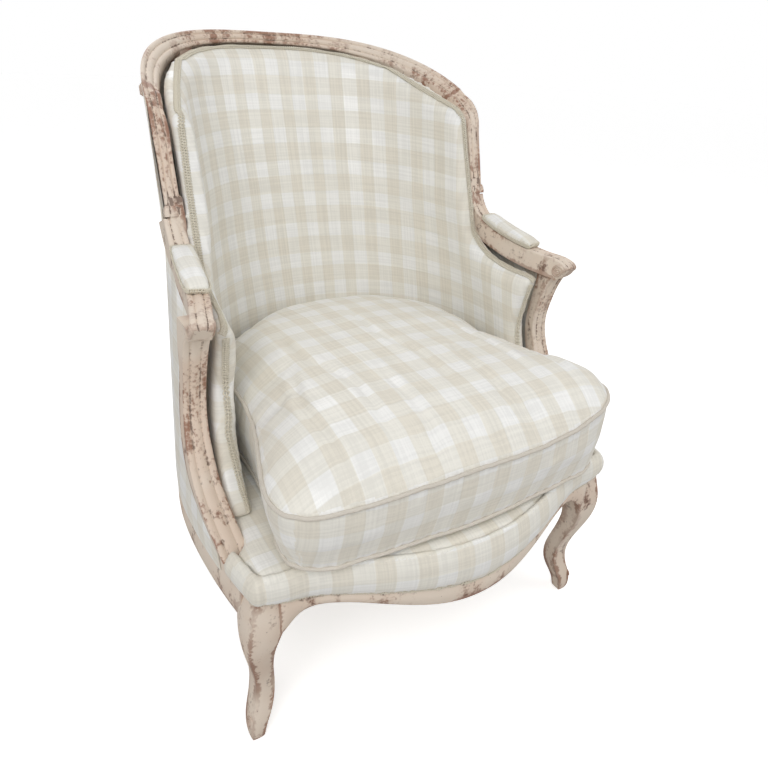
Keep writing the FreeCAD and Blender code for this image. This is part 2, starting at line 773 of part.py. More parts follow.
def inner_sheet(z, thickness, cutters):
    """A sheet between the rails' inner faces, notched round the legs."""
    sheet = seat_sheet(z, thickness, RAIL_THICKNESS + LAYER_GAP, RAIL_THICKNESS + 2)
    for other in cutters:
        sheet = sheet.cut(other)
    return largest(sheet)


def rail_inner_y(x, back):
    """Depth of the rails' inner faces at x, at the front or the back."""
    if not back:
        return front_line_y(x) + RAIL_THICKNESS + LAYER_GAP
    half = wall_half_width(RAIL_TOP) - RAIL_THICKNESS - LAYER_GAP
    run = max(0.0, 1 - (abs(x) / half) ** PLAN_POWER)
    return wall_centre_y(RAIL_TOP) + (BACK_DEPTH - RAIL_THICKNESS - LAYER_GAP) * run ** (1 / PLAN_POWER)


def webbing_lengthwise():
    """Strips from front to back, each turned up and tacked to the inner faces of the rails."""
    strips = []
    for x in (-150.0, -90.0, -30.0, 30.0, 90.0, 150.0):
        edges = (x - WEBBING_WIDTH / 2, x + WEBBING_WIDTH / 2)
        front = max(rail_inner_y(e, False) for e in edges)
        back = min(rail_inner_y(e, True) for e in edges)
        strips.append(turned_strip(x, front, back, WEBBING_LEVEL, False))
    return Part.makeCompound(strips)


def webbing_crosswise():
    strips = []
    for y in (95.0, 165.0, 235.0, 305.0, 375.0):
        reach = []
        for e in (y - WEBBING_WIDTH / 2, y + WEBBING_WIDTH / 2):
            reach.append(rail_inner_x(e))
        half = min(reach)
        strips.append(turned_strip(y, -half, half, WEBBING_LEVEL + WEBBING_THICKNESS + LAYER_GAP, True))
    return Part.makeCompound(strips)


def rail_inner_x(y):
    centre = wall_centre_y(RAIL_TOP)
    half = wall_half_width(RAIL_TOP) - RAIL_THICKNESS - LAYER_GAP
    if y < centre:
        return half + side_bow(RAIL_TOP) * (centre - y) ** 2
    run = max(0.0, 1 - ((y - centre) / (BACK_DEPTH - RAIL_THICKNESS)) ** PLAN_POWER)
    return half * run ** (1 / PLAN_POWER)


def turned_strip(middle, start, end, z, crosswise):
    """A flat webbing strip with both ends turned up."""
    t = WEBBING_THICKNESS
    high = RAIL_TOP - z - 12
    half = WEBBING_WIDTH / 2
    if crosswise:
        flat = Part.makeBox(end - start, WEBBING_WIDTH, t, vec(start, middle - half, z))
        tabs = [Part.makeBox(t, WEBBING_WIDTH, high, vec(x, middle - half, z)) for x in (start, end - t)]
    else:
        flat = Part.makeBox(WEBBING_WIDTH, end - start, t, vec(middle - half, start, z))
        tabs = [Part.makeBox(WEBBING_WIDTH, t, high, vec(middle - half, y, z)) for y in (start, end - t)]
    return flat.fuse(tabs[0]).fuse(tabs[1]).removeSplitter()


def biarc(start, start_way, end, end_way):
    """Two arcs, tangent to each other and to both end directions."""
    v = end - start
    both = start_way + end_way
    k = 2 * (1 - start_way.dot(end_way))
    vb = v.dot(both)
    if k < 1e-9:
        d = v.dot(v) / (4 * v.dot(end_way))
    else:
        d = (math.sqrt(vb * vb + k * v.dot(v)) - vb) / k
    corner_a = start + start_way * d
    corner_b = end - end_way * d
    join = (corner_a + corner_b) * 0.5
    return [corner_arc(start, corner_a, join), corner_arc(join, corner_b, end)]


def corner_arc(a, corner, b):
    middle = (a + b) * 0.5
    half = (b - a).Length / 2
    leg = (corner - a).Length
    cosine = min(1.0, half / leg)
    if 1 - cosine < 1e-9:
        return line(a, b)
    return arc(a, middle + (corner - middle) * (cosine / (1 + cosine)), b)


def coil(x, y, low, high):
    """One hourglass spring as a single unbroken wire."""
    steps = SPRING_TURNS * 4
    rise = (high - low) - SPRING_WIRE

    def at(i):
        share = i / steps
        radius = SPRING_WAIST + (SPRING_RADIUS - SPRING_WAIST) * abs(2 * share - 1)
        angle = math.pi / 2 * i
        return vec(x + radius * math.cos(angle), y + radius * math.sin(angle), low + SPRING_WIRE / 2 + rise * share)

    def way(i):
        return unit(at(i + 0.02) - at(i - 0.02))

    edges = []
    for i in range(steps):
        edges += biarc(at(i), way(i), at(i + 1), way(i + 1))
    path = Part.Wire(edges)
    section = Part.Wire([Part.makeCircle(SPRING_WIRE / 2, at(0), way(0))])
    return path.makePipeShell([section], True, False)


def seat_springs():
    low = WEBBING_LEVEL + 2 * WEBBING_THICKNESS + 2 * LAYER_GAP
    high = RAIL_TOP - LAYER_GAP
    coils = []
    for y in (85.0, 215.0, 345.0):
        for x in (-132.0, 0.0, 132.0):
            coils.append(coil(x, y, low, high))
    return Part.makeCompound(coils)


def corner_block():
    """Glue block in the corner behind a front leg, notched round the leg."""
    low, height = RAIL_TOP - 42, 38
    leg_x = CORNER_HALF_WIDTH - BLOCK_SIZE - LAYER_GAP
    leg_y = BLOCK_SIZE + LAYER_GAP
    side_x = min(rail_inner_x(leg_y), rail_inner_x(leg_y + 44))
    front_y = rail_inner_y(leg_x, False)
    outline = [(leg_x, front_y), (leg_x - 40, front_y), (side_x, leg_y + 44), (side_x, leg_y), (leg_x, leg_y)]
    face = Part.Face(ring([vec(x, y, low) for x, y in outline]))
    return face.extrude(FreeCAD.Vector(0, 0, height))


# Loose cushion

def outline_wire(points, z, scale, grow):
    """Smooth closed outline of arcs through the half outline and its mirror image."""
    full = list(points) + [(-x, y) for x, y in reversed(points[1:-1])]
    placed = []
    for x, y in full:
        dx, dy = x * scale, (y - CUSHION_CENTRE_Y) * scale
        length = math.hypot(dx, dy)
        factor = (length + grow) / length
        placed.append(vec(dx * factor, CUSHION_CENTRE_Y + dy * factor, z))
    count = len(placed)
    ways = [unit(placed[(i + 1) % count] - placed[i - 1]) for i in range(count)]
    edges = []
    for i in range(count):
        j = (i + 1) % count
        edges += biarc(placed[i], ways[i], placed[j], ways[j])
    return Part.Wire(edges)


def blend(share):
    return [(a[0] + (b[0] - a[0]) * share, a[1] + (b[1] - a[1]) * share) for a, b in zip(CUSHION_LOW, CUSHION_HIGH)]


def cushion_body(thin):
    """The filled shape, made smaller all round by thin."""
    rise = WELT_HIGH - WELT_LOW
    crown = CROWN_HIGH - WELT_HIGH
    levels = [
        (0, WELT_LOW - 3.5 + thin, 0.955, -thin),
        (0, WELT_LOW, 1.0, -thin),
        (0.22, WELT_LOW + 0.26 * rise, 1.0, 4 - thin),
        (0.5, WELT_LOW + 0.52 * rise, 1.0, 7 - thin),
        (0.8, WELT_LOW + 0.8 * rise, 1.0, 4 - thin),
        (1, WELT_HIGH - 0.3 * thin, 1.0, -thin),
        (1, WELT_HIGH + 0.40 * crown - thin, 0.92, -thin),
        (1, WELT_HIGH + 0.72 * crown - thin, 0.78, -thin),
        (1, WELT_HIGH + 0.92 * crown - thin, 0.56, -thin),
        (1, CROWN_HIGH - thin, 0.28, -thin),
    ]
    return loft([outline_wire(blend(share), z, scale, grow) for share, z, scale, grow in levels], True)


def cushion_cover():
    return cushion_body(0).cut(cushion_body(COVER))


def cushion_core():
    return cushion_body(COVER + LAYER_GAP)


def piping(points, z):
    path = outline_wire(points, z, 1.0, PIPING_RADIUS + 4 * LAYER_GAP)
    start = path.Edges[0]
    point = start.valueAt(start.FirstParameter)
    way = start.tangentAt(start.FirstParameter)
    section = Part.Wire([Part.makeCircle(PIPING_RADIUS, point, way)])
    return path.makePipeShell([section], True, False)


# Arm pads

def pad_wire(low, across, face, width, base, crown):
    """Half-round section of the arm pad standing on its base line."""
    half, wide = base / 2, width / 2
    shoulder = 0.62 * wide
    a, b = low + across * half, low - across * half
    c = low + across * shoulder + face * (0.84 * crown)
    d = low - across * shoulder + face * (0.84 * crown)
    right = low + across * wide * 0.98 + face * (0.42 * crown)
    left = low - across * wide * 0.98 + face * (0.42 * crown)
    return Part.Wire([line(b, a), arc(a, right, c), arc(c, low + face * crown, d), arc(d, left, b)])


def arm_pad_body(thin):
    """The pad's crowned shape, made smaller all round by thin."""
    shares = (0.0, 0.06, 0.16, 0.33, 0.5, 0.67, 0.84, 0.94, 1.0)
    heights = (0.45, 0.78, 0.95, 1.0, 1.0, 1.0, 0.95, 0.78, 0.45)
    span = PAD_END - PAD_BEGIN
    wires = []
    for share, height in zip(shares, heights):
        inset = thin / PAD_LENGTH * (1 - 2 * share)
        point, tangent = arm_samples([PAD_BEGIN + span * (share + inset)])[0]
        across, face = arm_axes(tangent)
        fill = 0.8 + 0.2 * height
        wires.append(pad_wire(point + face * (LAYER_GAP + thin), across, face, PAD_WIDTH * fill - 2 * thin,
                              PAD_BASE * fill - 2 * thin, PAD_CROWN * height - 2 * thin))
    return loft(wires)


def arm_pad_cover():
    return arm_pad_body(0).cut(arm_pad_body(COVER))


def arm_pad_stuffing():
    return arm_pad_body(COVER + LAYER_GAP)


def arm_pad_gimp():
    """The braid round the foot of the arm pad."""
    count = 8
    wires = []
    for i in range(count + 1):
        point, tangent = arm_samples([PAD_BEGIN - 0.03 + (PAD_END - PAD_BEGIN + 0.06) * i / count])[0]
        across, face = arm_axes(tangent)
        low = point + face * LAYER_GAP
        half = across * (PAD_WIDTH / 2 + 1)
        wires.append(ring([low - half, low + half, low + half + face * 5, low - half + face * 5]))
    return largest(loft(wires).cut(arm_pad_body(-LAYER_GAP)))


def back_gimp():
    """The scalloped braid as a flat band over the edge of the inside cover."""
    wires = []
    low = DECK_TOP + LAYER_GAP
    for share in wall_shares():
        bands = []
        for thin in (-LAYER_GAP, -LAYER_GAP - GIMP_THICKNESS):
            foot, middle, shoulder, turn, edge = stuffed_rib(share, low, thin)
            edge = edge + (turn - edge) * 0.1
            chord = unit(turn - edge)
            out = unit(unit(turn - shoulder) - chord * unit(turn - shoulder).dot(chord))
            bands.append((edge, (edge + turn) * 0.5 + out * GIMP_SAG, turn))
        inner, outer = bands
        wires.append(Part.Wire([arc(*inner), line(inner[2], outer[2]), arc(*reversed(outer)), line(outer[0], inner[0])]))
    return loft(wires, True)


def seat_gimp():
    wires = []
    for x, y, nx, ny in FRONT_STATIONS:
        z = gimp_z(x)

        def at(out, height):
            return vec(x + nx * out, y + ny * out, z + height)

        wires.append(ring([at(4.6, -3), at(2.2, -3), at(5.8, 8), at(8.2, 8)]))
    return loft(wires, True)


def frame_parts():
    nodes = {}
    rear = rear_leg()
    crest = crest_rail()
    nodes["crest_rail"] = largest(crest.cut(rear).cut(mirrored(rear)))
    nodes.update(both_sides("rear_leg", rear))
    stile_right = stile()
    nodes.update(both_sides("stile", stile_right))
    arm_right = largest(arm(stile_right))
    nodes.update(both_sides("arm", arm_right))
    nodes.update(both_sides("arm_support", arm_support(arm_right)))
    leg = front_leg()
    nodes.update(both_sides("front_leg", leg))
    nodes["front_rail"] = front_rail((leg, mirrored(leg)))
    nodes.update(both_sides("side_rail", side_rail((leg, rear, support_tenon(FIT_GAP)))))
    nodes["back_rail"] = back_rail((rear, mirrored(rear)))
    return nodes


def fitted(shape, neighbours):
    """A layer of upholstery cut to lie against its neighbours."""
    for other in neighbours:
        shape = shape.cut(other)
    return largest(shape)


def seat_parts(frame):
    nodes = {}
    posts = [frame[name + "_" + side] for name in ("front_leg", "rear_leg") for side, flip in LEFT_RIGHT]
    block = corner_block().cut(frame["front_leg_right"])
    nodes["corner_blocks"] = Part.makeCompound([block, mirrored(block)])
    nodes["webbing_lengthwise"] = webbing_lengthwise()
    nodes["webbing_crosswise"] = webbing_crosswise()
    nodes["seat_springs"] = seat_springs()
    nodes["dust_cover"] = inner_sheet(DUST_COVER_LEVEL, 1.2, posts)
    uprights = [frame[name + "_" + side] for name in ("rear_leg", "stile", "arm_support") for side, flip in LEFT_RIGHT]
    burlap_z = RAIL_TOP + LAYER_GAP
    stuff_z = burlap_z + BURLAP_THICKNESS + LAYER_GAP
    cover_z = DECK_TOP - COVER
    layers = {
        "seat_burlap": seat_sheet(burlap_z, BURLAP_THICKNESS, WALL_WOOD, 0.3),
        "seat_stuffing": seat_sheet(stuff_z, cover_z - LAYER_GAP - stuff_z, RAIL_THICKNESS, 8.3),
        "seat_deck_cover": seat_sheet(cover_z, COVER, RAIL_THICKNESS, 8.3),
    }
    for name, layer in layers.items():
        nodes[name] = fitted(layer, uprights)
    front = posts + [frame["front_rail"]] + [frame["side_rail_" + side] for side, flip in LEFT_RIGHT]
    nodes["seat_edge_roll"] = fitted(edge_roll(), front)
    nodes["seat_gimp"] = seat_gimp()
    return nodes


def back_parts(frame):
    nodes = {}
    sides = [before_support()]
    sides += [frame[name + "_" + side] for name in ("arm_support", "arm") for side, flip in LEFT_RIGHT]
    layers = {
        "inside_back_pad": inside_pad(),
        "inside_back_cover": inside_cover(),
        "outside_back_cover": wall_shell(OUTSIDE_LOW, outside_top, -WALL_GAP - COVER, -WALL_GAP),
    }
    sides += [frame["crest_rail"]] + [frame["stile_" + side] for side, flip in LEFT_RIGHT]
    for name, layer in layers.items():
        nodes[name] = fitted(layer, sides)
    nodes["back_lining"] = back_lining()
    nodes["back_gimp"] = fitted(back_gimp(), [nodes["inside_back_cover"]])
    return nodes


def arm_pad_parts():
    nodes = both_sides("arm_pad_stuffing", arm_pad_stuffing())
    nodes.update(both_sides("arm_pad_cover", arm_pad_cover()))
    nodes.update(both_sides("arm_pad_gimp", arm_pad_gimp()))
    return nodes


def cushion_parts():
    return {
        "cushion_core": cushion_core(),
        "cushion_cover": cushion_cover(),
        "cushion_piping_top": piping(CUSHION_HIGH, WELT_HIGH),
        "cushion_piping_bottom": piping(CUSHION_LOW, WELT_LOW),
    }


def build():
    nodes = frame_parts()
    nodes.update(seat_parts(nodes))
    nodes.update(back_parts(nodes))
    nodes.update(arm_pad_parts())
    nodes.update(cushion_parts())
    return nodes


def main():
    os.makedirs("parts", exist_ok=True)
    for name, shape in build().items():
        shape.exportStep(os.path.join("parts", name + ".step"))
        print(name, len(shape.Solids), "solids", round(shape.Volume / 1000.0, 1), "cm3", shape.isValid())


main()
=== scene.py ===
"""A barrel-backed bergere armchair: carved, rubbed cream paint on the show wood and checked ivory silk."""

import json
import logging
import math
from collections.abc import Callable
from dataclasses import dataclass, field
from enum import Enum

import bmesh
import bpy
from mathutils import Matrix, Vector, noise
from mathutils.bvhtree import BVHTree

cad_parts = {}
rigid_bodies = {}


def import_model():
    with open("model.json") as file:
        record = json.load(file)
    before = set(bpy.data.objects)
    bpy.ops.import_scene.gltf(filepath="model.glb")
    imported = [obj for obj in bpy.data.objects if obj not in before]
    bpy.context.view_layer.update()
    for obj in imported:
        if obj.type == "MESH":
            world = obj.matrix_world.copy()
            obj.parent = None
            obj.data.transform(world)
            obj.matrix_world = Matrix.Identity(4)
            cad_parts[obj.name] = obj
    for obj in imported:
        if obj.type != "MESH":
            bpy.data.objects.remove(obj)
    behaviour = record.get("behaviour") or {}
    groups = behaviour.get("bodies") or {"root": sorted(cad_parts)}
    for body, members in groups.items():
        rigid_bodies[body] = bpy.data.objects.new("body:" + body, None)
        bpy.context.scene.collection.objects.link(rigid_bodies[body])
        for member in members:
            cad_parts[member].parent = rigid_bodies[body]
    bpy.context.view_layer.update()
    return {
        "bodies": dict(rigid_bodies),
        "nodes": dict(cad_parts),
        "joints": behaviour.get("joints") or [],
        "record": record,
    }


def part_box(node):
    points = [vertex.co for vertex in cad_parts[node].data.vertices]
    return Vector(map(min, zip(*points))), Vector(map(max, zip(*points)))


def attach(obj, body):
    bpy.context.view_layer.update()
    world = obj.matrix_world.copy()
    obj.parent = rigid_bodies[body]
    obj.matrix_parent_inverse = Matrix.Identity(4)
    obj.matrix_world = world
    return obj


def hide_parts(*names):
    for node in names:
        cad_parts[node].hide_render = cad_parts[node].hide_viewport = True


LOG = logging.getLogger("bergere")
Colour = tuple[float, float, float]
Point = tuple[float, float, float]
CHAIR = "chair"
CUSHION = "seat_cushion"


class Side(Enum):
    """The two sides of the chair, seen from the front."""

    RIGHT = 1
    LEFT = -1

    @property
    def word(self) -> str:
        """The side's name as the nodes carry it."""
        return self.name.lower()


# Shader helpers


class Tree:
    """Adds nodes to one material or group and joins them."""

    def __init__(self, tree: bpy.types.NodeTree) -> None:
        """Starts on an empty tree."""
        self.tree = tree

    def add(self, kind: str, **settings: object) -> bpy.types.Node:
        """Adds a node of a kind and sets its properties."""
        node = self.tree.nodes.new(kind)
        for key, value in settings.items():
            setattr(node, key, value)
        return node

    def join(self, value: object, socket: bpy.types.NodeSocket) -> None:
        """Links an output to a socket, or sets the socket to a plain value."""
        if isinstance(value, bpy.types.NodeSocket):
            self.tree.links.new(value, socket)
        elif isinstance(value, tuple) and len(value) == 3 and socket.type == "RGBA":
            socket.default_value = (*value, 1.0)
        else:
            socket.default_value = value

    def math(self, operation: str, a: object, b: object = 0.0, clamp: bool = False) -> bpy.types.NodeSocket:
        """One arithmetic step."""
        node = self.add("ShaderNodeMath", operation=operation, use_clamp=clamp)
        self.join(a, node.inputs[0])
        self.join(b, node.inputs[1])
        return node.outputs[0]

    def mix(self, share: object, a: object, b: object) -> bpy.types.NodeSocket:
        """Mixes two colours."""
        node = self.add("ShaderNodeMix", data_type="RGBA")
        self.join(share, node.inputs[0])
        self.join(a, node.inputs[6])
        self.join(b, node.inputs[7])
        return node.outputs[2]

    def step(self, value: object, low: float, high: float, first: float = 0.0, last: float = 1.0) -> bpy.types.NodeSocket:
        """A soft step from first to last as value goes from low to high."""
        node = self.add("ShaderNodeMapRange", interpolation_type="SMOOTHSTEP")
        for place, number in enumerate((value, low, high, first, last)):
            self.join(number, node.inputs[place])
        return node.outputs[0]

    def noise(self, place: object, scale: float, detail: float = 4.0, stretch: Point = (1, 1, 1)) -> bpy.types.NodeSocket:
        """Noise from 0 to 1, stretched along the axes."""
        mapping = self.add("ShaderNodeMapping")
        self.join(place, mapping.inputs[0])
        mapping.inputs["Scale"].default_value = stretch
        node = self.add("ShaderNodeTexNoise")
        self.join(mapping.outputs[0], node.inputs["Vector"])
        node.inputs["Scale"].default_value = scale
        node.inputs["Detail"].default_value = detail
        return node.outputs[0]


def new_group(name: str, inputs: dict[str, str], outputs: dict[str, str]) -> tuple[Tree, bpy.types.Node, bpy.types.Node]:
    """Makes an empty shader node group.

    Args:
        name: The group's name.
        inputs: Socket type of each input.
        outputs: Socket type of each output.

    Returns:
        The group's tree, its input node and its output node.
    """
    group = bpy.data.node_groups.new(name, "ShaderNodeTree")
    for key, kind in inputs.items():
        group.interface.new_socket(key, in_out="INPUT", socket_type=kind)
    for key, kind in outputs.items():
        group.interface.new_socket(key, in_out="OUTPUT", socket_type=kind)
    tree = Tree(group)
    return tree, tree.add("NodeGroupInput"), tree.add("NodeGroupOutput")


SURFACE = {"Color": "NodeSocketColor", "Roughness": "NodeSocketFloat", "Height": "NodeSocketFloat"}


def worn_paint_group() -> bpy.types.NodeTree:
    """Chalky paint over gesso and dark wood, thin on the arrises and darkened by painted shade in the hollows."""
    inputs = {"Place": "NodeSocketVector", "Bend": "NodeSocketFloat", "Wear": "NodeSocketFloat"}
    inputs.update({"Paint": "NodeSocketColor", "Blush": "NodeSocketColor", "Rub": "NodeSocketColor", "Dirt": "NodeSocketColor"})
    t, start, end = new_group("worn_paint", inputs, SURFACE)
    place, bend, wear = start.outputs[0], start.outputs[1], start.outputs[2]
    clouds = t.noise(place, 9.0, 3.0)
    streaks = t.noise(place, 46.0, 6.0, (1.0, 1.0, 0.4))
    flecks = t.noise(place, 190.0, 5.0)
    paint = t.mix(t.step(clouds, 0.4, 0.62), start.outputs[3], start.outputs[4])
    paint = t.mix(t.step(streaks, 0.56, 0.72, 0.0, 0.35), paint, start.outputs[5])
    ragged = t.math("ADD", t.math("MULTIPLY", streaks, 0.12), t.math("MULTIPLY", flecks, 0.08))
    crest = t.math("ADD", bend, ragged)
    crest = t.math("ADD", crest, t.math("MULTIPLY", wear, 0.06))
    rubbed = t.math("MULTIPLY", t.step(crest, 0.640, 0.668), t.step(clouds, 0.34, 0.56))
    colour = t.mix(t.math("MULTIPLY", rubbed, 0.85), paint, start.outputs[5])
    # Painted shade: where the surface is hollow (low pointiness) the colour is drawn towards the dark colour, standing
    # in for shade in the recesses.
    hollow = t.math("SUBTRACT", bend, ragged)
    hollow_shade = t.step(hollow, 0.396, 0.366)
    colour = t.mix(t.math("MULTIPLY", hollow_shade, 0.8), colour, start.outputs[6])
    # Chips in the paint show the same dark colour; this part is real wear, not shade.
    chips = t.step(t.math("ADD", flecks, t.math("MULTIPLY", wear, 0.08)), 0.75, 0.79)
    colour = t.mix(t.math("MULTIPLY", chips, 0.7), colour, start.outputs[6])
    t.join(colour, end.inputs[0])
    bare = t.math("MAXIMUM", rubbed, chips)
    t.join(t.math("SUBTRACT", 0.62, t.math("MULTIPLY", bare, 0.2)), end.inputs[1])
    height = t.math("SUBTRACT", t.math("MULTIPLY", flecks, 0.35), t.math("MULTIPLY", bare, 0.5))
    t.join(t.math("ADD", height, t.math("MULTIPLY", streaks, 0.5)), end.inputs[2])
    return t.tree


def check_group() -> bpy.types.NodeTree:
    """A check of satin stripes over satin bands, with slubs and a fine rib."""
    inputs = {"Place": "NodeSocketVector", "Period": "NodeSocketFloat"}
    inputs.update({"Both": "NodeSocketColor", "Stripe": "NodeSocketColor", "Band": "NodeSocketColor", "Ground": "NodeSocketColor"})
    t, start, end = new_group("silk_check", inputs, SURFACE)
    parts = t.add("ShaderNodeSeparateXYZ")
    t.join(start.outputs[0], parts.inputs[0])
    period = start.outputs[1]
    waver = t.math("MULTIPLY", t.math("SUBTRACT", t.noise(start.outputs[0], 9.0, 2.0), 0.5), 0.006)
    masks = []
    for axis, share in ((0, 0.52), (1, 0.46)):
        along = t.math("ADD", parts.outputs[axis], waver)
        turn = t.math("FRACT", t.math("DIVIDE", t.math("ADD", along, 7.0), period))
        near = t.math("ABSOLUTE", t.math("SUBTRACT", turn, 0.5))
        masks.append(t.step(near, share / 2 + 0.014, share / 2 - 0.014))
    stripe, band = masks
    colour = t.mix(band, t.mix(stripe, start.outputs[5], start.outputs[3]), t.mix(stripe, start.outputs[4], start.outputs[2]))
    slub_u = t.noise(start.outputs[0], 90.0, 3.0, (0.08, 3.0, 1.0))
    slub_v = t.noise(start.outputs[0], 90.0, 3.0, (3.0, 0.08, 1.0))
    slubs = t.math("ADD", slub_u, slub_v)
    shade = t.step(slubs, 0.75, 1.25, 0.93, 1.04)
    grey = t.add("ShaderNodeCombineColor")
    for place in range(3):
        t.join(shade, grey.inputs[place])
    tint = t.add("ShaderNodeMix", data_type="RGBA", blend_type="MULTIPLY")
    tint.inputs[0].default_value = 1.0
    t.join(colour, tint.inputs[6])
    t.join(grey.outputs[0], tint.inputs[7])
    t.join(tint.outputs[2], end.inputs[0])
    satin = t.math("ADD", stripe, band)
    t.join(t.math("SUBTRACT", 0.68, t.math("MULTIPLY", satin, 0.19)), end.inputs[1])
    rib = t.math("SINE", t.math("MULTIPLY", parts.outputs[1], 2 * math.pi / 0.0016))
    rib = t.math("MULTIPLY", rib, t.math("SUBTRACT", 1.0, stripe))
    height = t.math("ADD", t.math("MULTIPLY", slubs, 0.6), t.math("MULTIPLY", rib, 0.12))
    t.join(t.math("ADD", height, t.math("MULTIPLY", satin, 0.25)), end.inputs[2])
    return t.tree


def weave_group() -> bpy.types.NodeTree:
    """A plain over-and-under weave of coarse yarn."""
    inputs = {"Place": "NodeSocketVector", "Yarn": "NodeSocketFloat", "Light": "NodeSocketColor", "Dark": "NodeSocketColor"}
    t, start, end = new_group("plain_weave", inputs, SURFACE)
    parts = t.add("ShaderNodeSeparateXYZ")
    t.join(start.outputs[0], parts.inputs[0])
    turns = [t.math("SINE", t.math("DIVIDE", parts.outputs[axis], start.outputs[1])) for axis in (0, 1)]
    crossing = t.math("ABSOLUTE", t.math("MULTIPLY", turns[0], turns[1]))
    fuzz = t.noise(start.outputs[0], 140.0, 5.0)
    mask = t.math("ADD", t.math("MULTIPLY", crossing, 0.6), t.math("MULTIPLY", fuzz, 0.5), True)
    t.join(t.mix(mask, start.outputs[3], start.outputs[2]), end.inputs[0])
    t.join(t.math("ADD", 0.75, t.math("MULTIPLY", fuzz, 0.2)), end.inputs[1])
    t.join(mask, end.inputs[2])
    return t.tree


# Finishes


@dataclass(frozen=True)
class Finish:
    """What every finish shares."""

    slot: str

    def base(self, bump: float, depth: float) -> tuple[Tree, bpy.types.Material, bpy.types.Node, bpy.types.Node]:
        """Makes a material with its shader and a bump.

        Args:
            bump: Strength of the bump.
            depth: Depth of the bump in metres.

        Returns:
            The tree, the material, the shader and the bump node.
        """
        material = bpy.data.materials.new(self.slot + "_finish")
        material.use_nodes = True
        tree = Tree(material.node_tree)
        shader = next(n for n in tree.tree.nodes if n.type == "BSDF_PRINCIPLED")
        node = tree.add("ShaderNodeBump")
        node.inputs["Strength"].default_value = bump
        node.inputs["Distance"].default_value = depth
        tree.join(node.outputs[0], shader.inputs["Normal"])
        return tree, material, shader, node

    def use(self, tree: Tree, group: bpy.types.NodeTree, values: dict[str, object], shader: bpy.types.Node,
            bump: bpy.types.Node) -> None:
        """Places a group and feeds the shader from it."""
        node = tree.add("ShaderNodeGroup", node_tree=group)
        for key, value in values.items():
            tree.join(value, node.inputs[key])
        tree.join(node.outputs["Color"], shader.inputs["Base Color"])
        tree.join(node.outputs["Roughness"], shader.inputs["Roughness"])
        tree.join(node.outputs["Height"], bump.inputs["Height"])


@dataclass(frozen=True)
class RubbedPaint(Finish):
    """Cream chalk paint rubbed through to red-brown."""

    paint: Colour = (0.74, 0.64, 0.54)
    blush: Colour = (0.70, 0.57, 0.465)
    rub: Colour = (0.26, 0.115, 0.065)
    # Dark colour for chips in the paint (real wear) and for the painted shade in the hollows.
    dirt: Colour = (0.115, 0.062, 0.042)
    wear: float = 0.5

    def make(self, group: bpy.types.NodeTree) -> bpy.types.Material:
        """Builds the material."""
        tree, material, shader, bump = self.base(0.35, 0.0012)
        place = tree.add("ShaderNodeTexCoord").outputs["Object"]
        bend = tree.add("ShaderNodeNewGeometry").outputs["Pointiness"]
        values = {"Place": place, "Bend": bend, "Wear": self.wear, "Paint": self.paint, "Blush": self.blush}
        values.update({"Rub": self.rub, "Dirt": self.dirt})
        self.use(tree, group, values, shader, bump)
        return material


@dataclass(frozen=True)
class CheckSilk(Finish):
    """Ivory silk with a satin check."""

    period: float = 0.058
    both: Colour = (0.85, 0.845, 0.82)
    stripe: Colour = (0.80, 0.78, 0.715)
    band: Colour = (0.79, 0.765, 0.69)
    ground: Colour = (0.755, 0.715, 0.625)

    def make(self, group: bpy.types.NodeTree) -> bpy.types.Material:
        """Builds the material."""
        tree, material, shader, bump = self.base(0.45, 0.0010)
        place = tree.add("ShaderNodeUVMap", uv_map="UVMap").outputs[0]
        values = {"Place": place, "Period": self.period, "Both": self.both, "Stripe": self.stripe}
        values.update({"Band": self.band, "Ground": self.ground})
        self.use(tree, group, values, shader, bump)
        shader.inputs["Sheen Weight"].default_value = 0.25
        shader.inputs["Sheen Roughness"].default_value = 0.4
        return material


@dataclass(frozen=True)
class Yarn(Finish):
    """Plain woven or spun yarn, hair or feather-proof cotton."""

    light: Colour = (0.7, 0.66, 0.56)
    dark: Colour = (0.4, 0.35, 0.27)
    yarn: float = 0.0006

    def make(self, group: bpy.types.NodeTree) -> bpy.types.Material:
        """Builds the material."""
        tree, material, shader, bump = self.base(0.6, 0.0008)
        place = tree.add("ShaderNodeTexCoord").outputs["Object"]
        values = {"Place": place, "Yarn": self.yarn, "Light": self.light, "Dark": self.dark}
        self.use(tree, group, values, shader, bump)
        return material


@dataclass(frozen=True)
class PlainWood(Finish):
    """Bare beech with its grain."""

    light: Colour = (0.56, 0.40, 0.25)
    dark: Colour = (0.36, 0.22, 0.12)

    def make(self) -> bpy.types.Material:
        """Builds the material."""
        tree, material, shader, bump = self.base(0.3, 0.0006)
        place = tree.add("ShaderNodeTexCoord").outputs["Object"]
        grain = tree.noise(place, 60.0, 6.0, (0.15, 3.0, 3.0))
        tree.join(tree.mix(grain, self.dark, self.light), shader.inputs["Base Color"])
        tree.join(tree.step(grain, 0.3, 0.7, 0.5, 0.75), shader.inputs["Roughness"])
        tree.join(grain, bump.inputs["Height"])
        return material


@dataclass(frozen=True)
class SpringSteel(Finish):
    """Drawn wire with a film of oil and a little rust."""

    steel: Colour = (0.35, 0.33, 0.31)
    rust: Colour = (0.22, 0.10, 0.05)

    def make(self) -> bpy.types.Material:
        """Builds the material."""
        tree, material, shader, bump = self.base(0.2, 0.0003)
        place = tree.add("ShaderNodeTexCoord").outputs["Object"]
        spots = tree.noise(place, 120.0, 5.0)
        rusty = tree.step(spots, 0.55, 0.68)
        tree.join(tree.mix(rusty, self.steel, self.rust), shader.inputs["Base Color"])
        tree.join(tree.math("ADD", 0.35, tree.math("MULTIPLY", rusty, 0.4)), shader.inputs["Roughness"])
        tree.join(tree.math("SUBTRACT", 1.0, rusty), shader.inputs["Metallic"])
        tree.join(spots, bump.inputs["Height"])
        return material


# Mesh helpers


